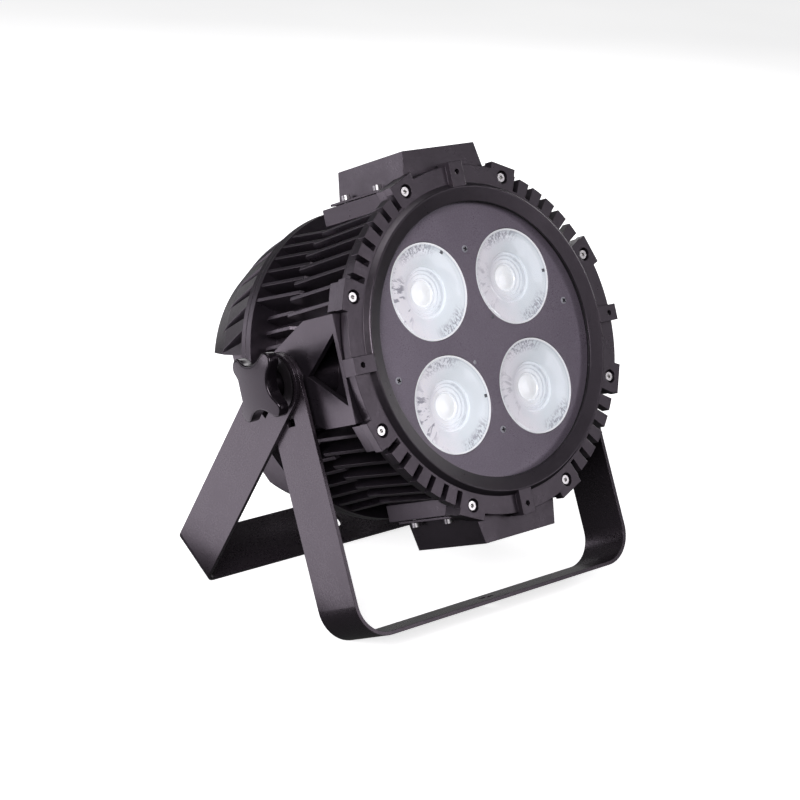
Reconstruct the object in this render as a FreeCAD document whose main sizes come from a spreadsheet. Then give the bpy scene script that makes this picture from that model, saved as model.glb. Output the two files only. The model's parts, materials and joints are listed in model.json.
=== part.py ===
import FreeCAD, Part
import Sketcher
import math
import os

# An outdoor LED wash light: a finned die-cast head with four chip-on-board lenses behind one
# glass, held by two steel brackets that turn about one pivot line and clamp under two knobs.
# Head pieces are drawn in the lamp's own frame: X to the right seen from the front, Y back
# along the beam axis from the lens panel, Z up, and are then tilted about the pivot line.

os.makedirs("parts", exist_ok=True)
doc = FreeCAD.newDocument("wash_light")
Vector = FreeCAD.Vector
Rotation = FreeCAD.Rotation
Placement = FreeCAD.Placement
X_AXIS = Vector(1, 0, 0)
Y_AXIS = Vector(0, 1, 0)
Z_AXIS = Vector(0, 0, 1)

# Driving sizes, in millimetres and degrees
SIZES = {
    # lens field
    "lens_pitch": 87.0,
    "lens_hole_radius": 38.0,
    "lens_clearance": 0.4,
    "lens_rim_height": 2.2,
    "lens_rim_width": 1.4,
    "lens_dish_radius": 20.1,
    "lens_dish_depth": 4.1,
    "lens_step": 1.375,
    "lens_step_width": 2.65,
    "lens_eye_rise": 1.4,
    "lens_back_radius": 16.0,
    "lens_depth": 28.0,
    "lens_pocket_radius": 12.0,
    "lens_pocket_depth": 8.0,
    "holder_wall": 3.5,
    "holder_grip": 6.0,
    "led_board_side": 28.0,
    "led_board_thick": 1.6,
    "led_dot_radius": 11.0,
    "led_dot_height": 1.0,
    "panel_radius": 109.0,
    "panel_thick": 1.5,
    "panel_gap": 0.5,
    "panel_screw_height": 70.5,
    "panel_screw_reach": 91.5,
    "panel_screw_rise": 17.0,
    "panel_screw_head": 2.8,
    "panel_screw_lift": 1.0,
    "panel_screw_radius": 1.5,
    "panel_screw_length": 9.0,
    "post_radius": 3.6,
    # glass and its seal
    "glass_radius": 112.0,
    "glass_thick": 3.0,
    "glass_lift": 1.6,
    "seal_lip": 0.6,
    "seal_wall": 0.9,
    "seal_proud": 0.3,
    "slack": 0.1,
    # front ring
    "ring_bore": 106.3,
    "ring_radius": 134.5,
    "ring_face": 5.0,
    "ring_thick": 8.0,
    "lip_height": 5.0,
    "lip_drop": 3.6,
    "lip_crest_radius": 117.5,
    "lip_foot_radius": 120.5,
    "lip_round": 1.2,
    "screw_circle": 130.0,
    "screw_offset": 22.5,
    "screw_step": 45.0,
    "land_half_width": 12.0,
    "land_reach": 139.5,
    "land_inset": 1.0,
    "notch_floor": 122.5,
    "notch_width": 4.8,
    "notch_first": 29.0,
    "notch_span": 32.0,
    "tab_width": 13.0,
    "tab_reach": 137.0,
    "tab_circle": 129.0,
    "tab_hole_radius": 2.1,
    "seam": 1.0,
    "ring_seal_inner": 114.0,
    "ring_seal_outer": 119.0,
    # screws of the ring, the cover and the boxes
    "cap_head_radius": 3.5,
    "cap_head_height": 4.0,
    "cap_shank_radius": 2.0,
    "cap_socket": 1.75,
    "cap_socket_depth": 2.4,
    "cap_shank_length": 12.0,
    "cap_sink": 5.5,
    "cap_sink_radius": 5.3,
    "thread_gap": 0.05,
    # front casting
    "flange_radius": 129.5,
    "flange_thick": 10.0,
    "seat_width": 3.1,
    "core_front_radius": 115.0,
    "core_radius": 102.0,
    "core_wall": 4.5,
    "core_taper_end": 40.0,
    "cavity_step": 12.0,
    "web_front": 33.0,
    "web_thick": 6.0,
    "split": 81.0,
    "split_seal": 0.8,
    "wire_hole_radius": 6.0,
    # fins
    "fin_thick": 2.8,
    "fin_pitch": 6.0,
    "fin_root": 3.0,
    "front_fin_first": 31.0,
    "front_fin_front_radius": 129.0,
    "front_fin_tip_radius": 125.5,
    "front_fin_tip": 86.0,
    "fin_nose": 2.5,
    "fin_rake": 4.5,
    "rear_fin_first": 28.0,
    "rear_fin_tip_radius": 122.0,
    "rear_fin_tip": 76.0,
    "rear_fin_rear_radius": 126.4,
    "short_fin_first": 64.0,
    "short_fin_radius": 116.5,
    "short_fin_front": 88.0,
    "short_fin_rear": 126.0,
    "short_fin_nose": 5.0,
    # pivot ears
    "pivot_depth": 70.0,
    "ear_face": 136.0,
    "ear_plate": 5.0,
    "ear_wall": 4.0,
    "ear_half_height": 41.0,
    "ear_shoulder": 40.0,
    "ear_inner": 96.0,
    "ear_hub_radius": 27.0,
    "hub_radius": 16.0,
    "hub_face": 141.7,
    "window_front": 8.0,
    "window_half_height": 27.0,
    "window_apex": 48.0,
    # driver boxes above and below
    "pad_half_width": 51.0,
    "pad_height": 125.0,
    "pad_base": 112.0,
    "pad_foot": 40.0,
    "pad_rear": 96.0,
    "box_front": 5.0,
    "box_rear": 85.0,
    "box_half_width": 42.0,
    "box_top_half_width": 36.7,
    "box_top": 151.5,
    "box_skin": 1.5,
    "box_relief": 130.6,
    "box_flange_inner": 36.0,
    "box_flange_thick": 1.8,
    "box_flange_front": 20.0,
    "box_screw_reach": 46.5,
    "box_screw_front": 30.6,
    "box_screw_rear": 70.0,
    "box_seal": 0.7,
    "tray_floor": 108.0,
    "driver_half_width": 30.0,
    "driver_front": 26.0,
    "driver_rear": 80.0,
    "driver_height": 34.0,
    # rear casting
    "rim_front": 129.5,
    "rim_rear": 135.5,
    "rim_radius": 127.0,
    "cover_seal": 0.6,
    "lug_circle": 92.0,
    "lug_radius": 6.0,
    "lug_length": 12.0,
    "tie_radius": 2.5,
    "tie_head_radius": 4.25,
    "tie_head_height": 5.0,
    "tie_grip": 16.0,
    # main board
    "board_radius": 76.0,
    "board_place": 104.0,
    "board_thick": 1.6,
    "board_post_circle": 64.0,
    "board_post_radius": 3.5,
    "coil_radius": 14.0,
    "coil_height": 20.0,
    "capacitor_radius": 8.0,
    "capacitor_height": 26.0,
    "coil_place": 34.0,
    "capacitor_place": 30.0,
    # rear cover
    "cover_flange": 5.4,
    "dome_front_radius": 126.0,
    "dome_mid_radius": 119.2,
    "dome_mid_rise": 35.0,
    "dome_rear_radius": 107.5,
    "dome_rear_rise": 67.0,
    "cover_depth": 80.5,
    "cover_back_radius": 94.0,
    "cover_wall": 3.5,
    "cavity_radius": 111.0,
    "cavity_run": 36.0,
    "cavity_rear_radius": 103.0,
    "spine_half_width": 75.0,
    "hood_lip_front": 27.0,
    "hood_lip_rear": 37.0,
    "recess_floor": 115.0,
    "recess_width": 10.0,
    "recess_length": 50.0,
    "recess_step": 9.0,
    "cover_screw_circle": 120.0,
    "cover_screw_step": 45.0,
    "cover_shank_length": 10.0,
    "cover_seal_inner": 111.5,
    "cover_seal_outer": 115.5,
    # control panel on the cover's back
    "display_half_width": 32.0,
    "display_half_height": 13.0,
    "display_height": 40.0,
    "display_sink": 1.6,
    "display_thick": 1.4,
    "button_pitch": 20.0,
    "button_height": 8.0,
    "button_radius": 5.0,
    "button_gap": 0.35,
    "button_proud": 1.6,
    "button_collar": 1.4,
    "socket_pitch": 34.0,
    "socket_height": -38.0,
    "socket_radius": 10.0,
    "socket_nut_radius": 14.0,
    "socket_nut_thick": 3.0,
    "socket_length": 11.0,
    "socket_bore": 7.5,
    "socket_bore_depth": 9.0,
    "socket_tail": 9.0,
    "socket_roll": 20.0,
    "vent_radius": 7.0,
    "vent_thick": 3.0,
    "vent_stem": 4.0,
    "vent_height": -68.0,
    # brackets
    "bracket_width": 46.0,
    "bracket_thick": 3.0,
    "bracket_gap": 0.5,
    "front_bracket_face": 145.0,
    "front_bracket_length": 202.0,
    "front_bend": 28.0,
    "rear_bracket_length": 207.2,
    "rear_bend": 9.0,
    "hang_hole_radius": 6.5,
    "index_slot_place": 29.5,
    "index_slot_side": 9.0,
    "front_lean": 26.0,
    "head_tilt": 23.4,
    # clamp knobs
    "stud_radius": 4.0,
    "stud_gap": 0.05,
    "stud_reach": 20.0,
    "washer_radius": 12.0,
    "washer_thick": 2.0,
    "stack_gap": 0.3,
    "knob_hub_radius": 12.0,
    "knob_hub": 7.0,
    "knob_thick": 14.0,
    "knob_reach": 31.5,
    "knob_corner": 5.6,
    "knob_valley_radius": 18.0,
    "knob_valley_floor": 16.8,
    "knob_round": 2.0,
    "stud_seat": 8.0,
    # overrun of every cut
    "overrun": 2.0,
}

sheet = doc.addObject("Spreadsheet::Sheet", "Dim")
for row, (alias, value) in enumerate(SIZES.items(), start=1):
    sheet.set("A%d" % row, alias)
    sheet.set("B%d" % row, str(value))
    sheet.setAlias("B%d" % row, alias)
doc.recompute()

# Every finished sub-part, with the frame it is placed in
parts = []


def num(expression):
    """Value of an expression over the sheet."""
    return float(sheet.evalExpression(expression))


def origin_feature(body, role):
    """Origin plane or axis of a body, by its role."""
    for feature in body.Origin.OriginFeatures:
        if feature.Role == role:
            return feature


def new_body(name):
    """Empty body of one sub-part."""
    body = doc.addObject("PartDesign::Body", name)
    body.Label = name
    return body


def new_sketch(body, name, role="XY_Plane", lift=None, turn=None):
    """Sketch on an origin plane of its body, lifted off it or turned about the beam axis."""
    sketch = body.newObject("Sketcher::SketchObject", body.Name + "_" + name)
    sketch.AttachmentSupport = [(origin_feature(body, role), "")]
    sketch.MapMode = "FlatFace"
    if turn:
        sketch.AttachmentOffset = Placement(Vector(), Rotation(Y_AXIS, num(turn)))
        sketch.setExpression("AttachmentOffset.Rotation.Angle", turn)
    if lift:
        sketch.AttachmentOffset = Placement(Vector(0, 0, num(lift)), Rotation())
        sketch.setExpression("AttachmentOffset.Base.z", lift)
    return sketch


def drive(sketch, kind, geometry, point, expression):
    """Ties one coordinate of a sketch point to an expression over the sheet."""
    if expression == "0":
        axis = {"DistanceX": -2, "DistanceY": -1}[kind]
        sketch.addConstraint(Sketcher.Constraint("PointOnObject", geometry, point, axis))
        return
    index = sketch.addConstraint(Sketcher.Constraint(kind, -1, 1, geometry, point, num(expression)))
    sketch.setExpression("Constraints[%d]" % index, expression)


def add_outline(sketch, corners):
    """Closed run of straight edges through corners, each given as a pair of expressions."""
    places = [Vector(num(across), num(along), 0) for across, along in corners]
    count = len(corners)
    first = sketch.GeometryCount
    for index in range(count):
        edge = Part.LineSegment(places[index], places[(index + 1) % count])
        sketch.addGeometry(edge, False)
    for index, (across, along) in enumerate(corners):
        following = first + (index + 1) % count
        sketch.addConstraint(Sketcher.Constraint("Coincident", first + index, 2, following, 1))
        drive(sketch, "DistanceX", first + index, 1, across)
        drive(sketch, "DistanceY", first + index, 1, along)


def add_circle(sketch, across, along, radius):
    """Full circle whose centre and radius follow expressions."""
    circle = Part.Circle(Vector(num(across), num(along), 0), Z_AXIS, num(radius))
    geometry = sketch.addGeometry(circle, False)
    drive(sketch, "DistanceX", geometry, 3, across)
    drive(sketch, "DistanceY", geometry, 3, along)
    index = sketch.addConstraint(Sketcher.Constraint("Radius", geometry, num(radius)))
    sketch.setExpression("Constraints[%d]" % index, radius)


def box_corners(left, right, low, high):
    """Corners of an upright rectangle."""
    return [(left, low), (right, low), (right, high), (left, high)]


def revolve(body, name, corners, cut=False, sweep=None, turn=None):
    """Turns a profile of radius and depth about the beam axis, to add or to cut."""
    sketch = new_sketch(body, name + "_profile", turn=turn)
    add_outline(sketch, corners)
    kind = "PartDesign::Groove" if cut else "PartDesign::Revolution"
    feature = body.newObject(kind, body.Name + "_" + name)
    feature.Profile = sketch
    feature.ReferenceAxis = (sketch, ["V_Axis"])
    feature.Angle = 360
    if sweep:
        feature.setExpression("Angle", sweep)
        feature.Midplane = True
    return feature


def extrude(body, name, sketch, length, cut=False, back=False, both=False):
    """Pads or pockets a sketch by a length, one way, the other way or both ways."""
    kind = "PartDesign::Pocket" if cut else "PartDesign::Pad"
    feature = body.newObject(kind, body.Name + "_" + name)
    feature.Profile = sketch
    feature.setExpression("Length", length)
    feature.Reversed = back
    if both:
        feature.SideType = "Symmetric"
    return feature


def repeat_round(body, name, originals, count, sweep, mirrors=(), steps=()):
    """Repeats features about the beam axis and, where asked, across origin planes."""
    feature = body.newObject("PartDesign::MultiTransform", body.Name + "_" + name)
    feature.Originals = originals
    moves = [polar_step(body, name + "_turn", count, sweep)]
    for index, (step_count, step_sweep) in enumerate(steps):
        moves.append(polar_step(body, name + "_step%d" % index, step_count, step_sweep))
    for role in mirrors:
        mirror = body.newObject("PartDesign::Mirrored", body.Name + "_" + name + "_" + role[:2])
        mirror.MirrorPlane = (origin_feature(body, role), [""])
        moves.append(mirror)
    feature.Transformations = moves
    body.Tip = feature
    return feature


def polar_step(body, name, count, sweep):
    """One turn of a pattern about the beam axis."""
    turn = body.newObject("PartDesign::PolarPattern", body.Name + "_" + name)
    turn.Axis = (origin_feature(body, "Y_Axis"), [""])
    turn.setExpression("Angle", sweep)
    turn.Occurrences = count
    return turn


def mirror_over(body, name, originals, roles):
    """Mirrors features across one or two origin planes."""
    feature = body.newObject("PartDesign::MultiTransform", body.Name + "_" + name)
    feature.Originals = originals
    moves = []
    for role in roles:
        mirror = body.newObject("PartDesign::Mirrored", body.Name + "_" + name + "_" + role[:2])
        mirror.MirrorPlane = (origin_feature(body, role), [""])
        moves.append(mirror)
    feature.Transformations = moves
    body.Tip = feature
    return feature


def keep(sub_part, frame):
    """Lists a finished sub-part and the frame it belongs to, and merges its split faces once."""
    if sub_part.isDerivedFrom("PartDesign::Body"):
        for feature in sub_part.Group:
            if hasattr(feature, "Refine"):
                feature.Refine = feature is sub_part.Tip
    parts.append((sub_part, frame))
    return sub_part


def ring_part(name, inner, outer, front, back):
    """Flat ring about the beam axis, such as a seal."""
    body = new_body(name)
    revolve(body, "ring", [(inner, front), (outer, front), (outer, back), (inner, back)])
    return keep(body, "head")


def cylinder(name, radius, height, base="0"):
    """Upright cylinder whose sizes follow expressions."""
    solid = doc.addObject("Part::Cylinder", name)
    solid.setExpression("Radius", radius)
    solid.setExpression("Height", height)
    solid.setExpression("Placement.Base.z", base)
    return solid


def fused(name, shapes):
    """Union of shapes."""
    union = doc.addObject("Part::MultiFuse", name)
    union.Shapes = shapes
    return union


def less(name, base, tool):
    """One shape less another."""
    cut = doc.addObject("Part::Cut", name)
    cut.Base = base
    cut.Tool = tool
    return cut


def cap_screw(name, head_radius, head_height, shank_radius, shank_length, socket, socket_depth):
    """Socket screw standing on its head's underside: head up, shank down, hexagon socket."""
    head = cylinder(name + "_head", head_radius, head_height)
    shank = cylinder(name + "_shank", shank_radius, shank_length, "-(%s)" % shank_length)
    bar = fused(name + "_bar", [head, shank])
    prism = doc.addObject("Part::Prism", name + "_hexagon")
    prism.Polygon = 6
    prism.setExpression("Circumradius", socket)
    prism.setExpression("Height", head_height)
    prism.setExpression("Placement.Base.z", "(%s) - (%s)" % (head_height, socket_depth))
    return less(name, bar, prism)


def scatter(name, master, places, frame="head"):
    """Separate copies of one master piece, gathered as one sub-part."""
    copies = []
    for place in places:
        copy = master.Shape.copy()
        copy.Placement = place.multiply(copy.Placement)
        copies.append(copy)
    group = doc.addObject("Part::Feature", name)
    group.Label = name
    group.Shape = Part.makeCompound(copies)
    return keep(group, frame)


def on_circle(radius, angle, depth, facing):
    """Place on a circle about the beam axis, turned so that up points along the beam axis."""
    spot = Vector(radius * math.cos(angle), depth, radius * math.sin(angle))
    return Placement(spot, Rotation(X_AXIS, facing))


# Shared depths along the beam axis, as expressions
GLASS_BACK = "-Dim.glass_lift"
GLASS_FRONT = "-(Dim.glass_lift + Dim.glass_thick)"
SHOULDER = "-(Dim.glass_lift + Dim.glass_thick + Dim.seal_lip)"
SEAT = "-(Dim.glass_lift - Dim.seal_lip)"
LIP_FRONT = "-(Dim.ring_face + Dim.lip_height)"
RING_BACK = "(Dim.ring_thick - Dim.ring_face)"
HOUSING_FRONT = "(Dim.ring_thick - Dim.ring_face + Dim.seam)"
FLANGE_BACK = "(Dim.ring_thick - Dim.ring_face + Dim.seam + Dim.flange_thick)"
SEAT_INNER = "(Dim.panel_radius + Dim.panel_gap)"
GLASS_POCKET = "(Dim.glass_radius + Dim.seal_wall)"
CORE_INNER = "(Dim.core_radius - Dim.core_wall)"
REAR_START = "(Dim.split + Dim.split_seal)"
COVER_FRONT = "(Dim.rim_rear + Dim.cover_seal)"
DOME_FRONT = "(Dim.rim_rear + Dim.cover_seal + Dim.cover_flange)"
COVER_BACK = "(Dim.rim_rear + Dim.cover_seal + Dim.cover_flange + Dim.cover_depth)"
TRAY_RUN = ("(Dim.box_flange_front + 2 * Dim.box_skin)", "(Dim.box_rear - 2 * Dim.box_skin)")
FRONTWARD = 90.0
BACKWARD = -90.0
PART_TURN = 360.0


def land_corners(inner, inset):
    """Corners of the straight-edged land round one screw hole, from an inner radius outwards."""
    outer = "(Dim.land_reach - %s)" % inset
    half = "(Dim.land_half_width - %s)" % inset
    corners = []
    for reach, side in ((inner, "-"), (outer, "-"), (outer, ""), (inner, "")):
        across = "%s * cos(Dim.screw_offset) - %s%s * sin(Dim.screw_offset)" % (reach, side, half)
        along = "%s * sin(Dim.screw_offset) + %s%s * cos(Dim.screw_offset)" % (reach, side, half)
        corners.append((across, along))
    return corners


def build_front_ring():
    """Bezel ring: sloped lip, flange, screw lands, block teeth, four fixing tabs."""
    body = new_body("front_ring")
    section = revolve(body, "section", [
        ("Dim.ring_bore", LIP_FRONT + " + Dim.lip_drop"),
        ("Dim.lip_crest_radius", LIP_FRONT),
        ("Dim.lip_foot_radius", "-Dim.ring_face"),
        ("Dim.ring_radius", "-Dim.ring_face"),
        ("Dim.ring_radius", RING_BACK),
        (GLASS_POCKET, RING_BACK),
        (GLASS_POCKET, SHOULDER),
        ("Dim.ring_bore", SHOULDER),
    ])
    doc.recompute()
    crest = num("Dim.lip_crest_radius")
    front = num(LIP_FRONT)
    names = []
    for index, edge in enumerate(section.Shape.Edges, start=1):
        box = edge.BoundBox
        flat = abs(box.YMax - front) + abs(box.YMin - front) < num("Dim.slack")
        if flat and abs(box.XMax - crest) < num("Dim.slack"):
            names.append("Edge%d" % index)
    rounding = body.newObject("PartDesign::Fillet", "front_ring_crest")
    rounding.Base = (section, names)
    rounding.setExpression("Radius", "Dim.lip_round")
    land_sketch = new_sketch(body, "land_outline", "XZ_Plane", lift="Dim.ring_face")
    add_outline(land_sketch, land_corners("Dim.lip_foot_radius", "0"))
    land = extrude(body, "land", land_sketch, "Dim.ring_thick", back=True)
    repeat_round(body, "lands", [land], 8, "360")
    notch_sketch = new_sketch(body, "notch_outline", turn="-Dim.notch_first")
    add_outline(notch_sketch, box_corners(
        "Dim.notch_floor", "Dim.land_reach + Dim.overrun",
        "-Dim.ring_face - Dim.overrun", RING_BACK + " + Dim.overrun"))
    notch = extrude(body, "notch", notch_sketch, "Dim.notch_width", cut=True, both=True)
    repeat_round(body, "notches", [notch], 6, "-Dim.notch_span", steps=[(4, "360")])
    tab_sketch = new_sketch(body, "tab_outline", "XZ_Plane", lift="-" + LIP_FRONT)
    add_outline(tab_sketch, box_corners("Dim.lip_crest_radius", "Dim.tab_reach",
                                        "-Dim.tab_width / 2", "Dim.tab_width / 2"))
    tab = extrude(body, "tab", tab_sketch, "Dim.lip_height + Dim.ring_thick", back=True)
    repeat_round(body, "tabs", [tab], 4, "360")
    hole_sketch = new_sketch(body, "tab_hole_outline", "XZ_Plane", lift="-" + LIP_FRONT)
    add_circle(hole_sketch, "Dim.tab_circle", "0", "Dim.tab_hole_radius")
    hole = extrude(body, "tab_hole", hole_sketch, "Dim.lip_height + Dim.ring_thick + Dim.overrun", cut=True)
    repeat_round(body, "tab_holes", [hole], 4, "360")
    sink_sketch = new_sketch(body, "sink_outline", "XZ_Plane", lift="Dim.ring_face")
    add_circle(sink_sketch, "Dim.screw_circle * cos(Dim.screw_offset)",
               "Dim.screw_circle * sin(Dim.screw_offset)", "Dim.cap_sink_radius")
    sink = extrude(body, "sink", sink_sketch, "Dim.cap_sink", cut=True)
    bore_sketch = new_sketch(body, "bore_outline", "XZ_Plane", lift="Dim.ring_face")
    add_circle(bore_sketch, "Dim.screw_circle * cos(Dim.screw_offset)",
               "Dim.screw_circle * sin(Dim.screw_offset)", "Dim.cap_shank_radius + Dim.thread_gap")
    bore = extrude(body, "bore", bore_sketch, "Dim.ring_thick + Dim.overrun", cut=True)
    repeat_round(body, "screw_holes", [sink, bore], 8, "360")
    return keep(body, "head")


def build_glass_seal():
    """Rubber channel round the rim of the glass."""
    body = new_body("glass_seal")
    outer = GLASS_POCKET + " - Dim.slack"
    inner = "Dim.glass_radius + Dim.slack"
    revolve(body, "section", [
        ("Dim.ring_bore - Dim.seal_proud", SHOULDER),
        (outer, SHOULDER),
        (outer, SEAT),
        (SEAT_INNER + " + Dim.slack", SEAT),
        (SEAT_INNER + " + Dim.slack", GLASS_BACK),
        (inner, GLASS_BACK),
        (inner, GLASS_FRONT),
        ("Dim.ring_bore - Dim.seal_proud", GLASS_FRONT),
    ])
    return keep(body, "head")


def build_front_glass():
    """Flat toughened glass disc."""
    body = new_body("front_glass")
    sketch = new_sketch(body, "outline", "XZ_Plane", lift="-" + GLASS_FRONT)
    add_circle(sketch, "0", "0", "Dim.glass_radius")
    extrude(body, "disc", sketch, "Dim.glass_thick", back=True)
    return keep(body, "head")


# Four lens places, as the sign across and the sign up, with their names
LENS_PLACES = [(-1, 1, "upper_left"), (1, 1, "upper_right"), (-1, -1, "lower_left"), (1, -1, "lower_right")]


def lens_spot(across, up):
    """Placement of one lens on the panel."""
    half = num("Dim.lens_pitch / 2")
    return Placement(Vector(across * half, 0, up * half), Rotation())


def panel_screw_spots():
    """Places of the four screws that hold the lens panel, seen from the front."""
    return [("0", "Dim.panel_screw_height"), ("Dim.panel_screw_reach", "Dim.panel_screw_rise"),
            ("0", "-Dim.panel_screw_height"), ("-Dim.panel_screw_reach", "-Dim.panel_screw_rise")]


def build_lens_panel():
    """Dark mask plate with four lens holes and four screw holes."""
    body = new_body("lens_panel")
    sketch = new_sketch(body, "outline", "XZ_Plane")
    add_circle(sketch, "0", "0", "Dim.panel_radius")
    for across, up, _ in LENS_PLACES:
        add_circle(sketch, "%d * Dim.lens_pitch / 2" % across, "%d * Dim.lens_pitch / 2" % up,
                   "Dim.lens_hole_radius")
    for across, up in panel_screw_spots():
        add_circle(sketch, across, up, "Dim.panel_screw_radius + Dim.slack")
    extrude(body, "plate", sketch, "Dim.panel_thick", back=True)
    return keep(body, "head")


def build_lens(name):
    """Moulded collimator lens: rim, dish, four steps down to a domed eye, cone, chip pocket."""
    body = new_body(name)
    rim = "Dim.lens_hole_radius - Dim.lens_clearance"
    front = "Dim.lens_clearance"
    dish = "2 * Dim.lens_clearance"
    edge = dish + " + Dim.lens_dish_depth"
    floor = edge + " + 4 * Dim.lens_step"
    eye = "(Dim.lens_dish_radius - 4 * Dim.lens_step_width)"
    steps = []
    for count in (4, 3, 2, 1):
        wall = "Dim.lens_dish_radius - %d * Dim.lens_step_width" % (count - 1)
        steps.append((wall + " - Dim.lens_clearance", edge + " + %d * Dim.lens_step" % count))
        steps.append((wall, edge + " + %d * Dim.lens_step" % (count - 1)))
    revolve(body, "section", [
        ("0", floor + " - Dim.lens_eye_rise"),
        (eye + " / 2", floor + " - Dim.lens_eye_rise * 3 / 4"),
        (eye, floor),
        *steps,
        (rim + " - 2 * Dim.lens_rim_width", dish),
        (rim + " - Dim.lens_rim_width", front),
        (rim, front),
        (rim, front + " + Dim.lens_rim_height"),
        (rim + " - Dim.lens_rim_width", "Dim.lens_rim_height + Dim.lens_rim_width"),
        ("Dim.lens_back_radius", "Dim.lens_depth"),
        ("Dim.lens_pocket_radius", "Dim.lens_depth"),
        ("Dim.lens_pocket_radius", "Dim.lens_depth - Dim.lens_pocket_depth"),
        ("0", "Dim.lens_depth - Dim.lens_pocket_depth - Dim.lens_eye_rise"),
    ])
    return keep(body, name)


def build_lens_holder(name):
    """Cup that stands on the web and grips the cone of the lens."""
    body = new_body(name)
    rim = "(Dim.lens_hole_radius - Dim.lens_clearance - Dim.lens_rim_width)"
    run = "(Dim.lens_depth - Dim.lens_rim_height - Dim.lens_rim_width)"
    slope = "(%s - Dim.lens_back_radius) / %s" % (rim, run)
    foot = "(Dim.lens_back_radius + Dim.holder_grip + Dim.slack)"
    grip_low = "(Dim.lens_depth - Dim.holder_grip / (%s))" % slope
    grip_high = "(%s - Dim.holder_grip)" % grip_low
    mouth = "(%s + Dim.holder_grip * %s)" % (foot, slope)
    revolve(body, "section", [
        (foot, "Dim.web_front"),
        (foot, grip_low),
        (mouth, grip_high),
        (mouth + " + Dim.holder_wall", grip_high),
        (foot + " + Dim.holder_wall", grip_low),
        (foot + " + Dim.holder_wall", "Dim.web_front"),
    ])
    return keep(body, name)


def build_led(name):
    """Chip-on-board light source: square board with a round phosphor field."""
    body = new_body(name)
    board = new_sketch(body, "board_outline", "XZ_Plane", lift="-Dim.web_front")
    half = "Dim.led_board_side / 2"
    add_outline(board, box_corners("-" + half, half, "-" + half, half))
    extrude(body, "board", board, "Dim.led_board_thick")
    dot = new_sketch(body, "dot_outline", "XZ_Plane", lift="Dim.led_board_thick - Dim.web_front")
    add_circle(dot, "0", "0", "Dim.led_dot_radius")
    extrude(body, "dot", dot, "Dim.led_dot_height")
    return keep(body, name)


def build_panel_fixings():
    """Posts that carry the lens panel, and the low screws in them."""
    post = less("post_tube",
                cylinder("post_bar", "Dim.post_radius", "Dim.web_front - Dim.panel_thick"),
                cylinder("post_bore", "Dim.panel_screw_radius + Dim.thread_gap",
                         "Dim.panel_screw_length",
                         "Dim.web_front - Dim.panel_thick - Dim.panel_screw_length"))
    screw = cap_screw("low_screw", "Dim.panel_screw_head", "Dim.panel_screw_lift",
                      "Dim.panel_screw_radius", "Dim.panel_screw_length",
                      "Dim.panel_screw_radius", "Dim.panel_screw_lift / 2")
    doc.recompute()
    post_places = []
    screw_places = []
    for across, up in panel_screw_spots():
        turn = Rotation(X_AXIS, FRONTWARD)
        post_places.append(Placement(Vector(num(across), num("Dim.web_front"), num(up)), turn))
        screw_places.append(Placement(Vector(num(across), 0, num(up)), turn))
    scatter("panel_posts", post, post_places)
    scatter("panel_screws", screw, screw_places)


def fin(body, name, angle, corners):
    """One radial fin at an angle from the upright, drawn as radius and depth."""
    sketch = new_sketch(body, name + "_outline", turn="%s - 90" % angle)
    add_outline(sketch, corners)
    return extrude(body, name, sketch, "Dim.fin_thick", both=True)


def build_front_housing():
    """Front casting: glass seat, flange, core with the light-source web, fins, ears, box pads."""
    body = new_body("front_housing")
    seat_outer = SEAT_INNER + " + Dim.seat_width"
    revolve(body, "core", [
        ("0", SEAT), (seat_outer, SEAT), (seat_outer, HOUSING_FRONT),
        ("Dim.flange_radius", HOUSING_FRONT), ("Dim.flange_radius", FLANGE_BACK),
        ("Dim.core_front_radius", FLANGE_BACK), ("Dim.core_radius", "Dim.core_taper_end"),
        ("Dim.core_radius", "Dim.split"), ("0", "Dim.split"),
    ])
    pad_sketch = new_sketch(body, "pad_outline", "XZ_Plane", lift="-" + HOUSING_FRONT)
    foot = "sqrt(Dim.core_radius ^ 2 - Dim.pad_foot ^ 2) - Dim.fin_root"
    add_outline(pad_sketch, [
        ("-Dim.pad_foot", foot), ("Dim.pad_foot", foot), ("Dim.pad_half_width", "Dim.pad_base"),
        ("Dim.pad_half_width", "Dim.pad_height"), ("-Dim.pad_half_width", "Dim.pad_height"),
        ("-Dim.pad_half_width", "Dim.pad_base"),
    ])
    pad = extrude(body, "pad", pad_sketch, "Dim.pad_rear - %s" % HOUSING_FRONT, back=True)
    mirror_over(body, "pads", [pad], ["XY_Plane"])
    ears = build_ears(body)
    mirror_over(body, "ears", ears, ["YZ_Plane"])
    revolve(body, "front_cavity", [
        ("0", SEAT + " - Dim.overrun"), (SEAT_INNER, SEAT + " - Dim.overrun"),
        (SEAT_INNER, "Dim.cavity_step"), (CORE_INNER, "Dim.web_front"), ("0", "Dim.web_front"),
    ], cut=True)
    revolve(body, "rear_cavity", [
        ("0", "Dim.web_front + Dim.web_thick"), (CORE_INNER, "Dim.web_front + Dim.web_thick"),
        (CORE_INNER, "Dim.pad_rear + Dim.overrun"), ("0", "Dim.pad_rear + Dim.overrun"),
    ], cut=True)
    rear_relief(body)
    cut_trays(body)
    tie_sketch = new_sketch(body, "tie_outline", "XZ_Plane", lift="-(Dim.web_front + Dim.web_thick)")
    add_circle(tie_sketch, "Dim.lug_circle * cos(45)", "Dim.lug_circle * sin(45)", "Dim.lug_radius")
    post = extrude(body, "tie_post", tie_sketch, "Dim.split - Dim.web_front - Dim.web_thick", back=True)
    repeat_round(body, "tie_posts", [post], 4, "360")
    cut_front_housing_holes(body)
    add_front_fins(body)
    return keep(body, "head")


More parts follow.
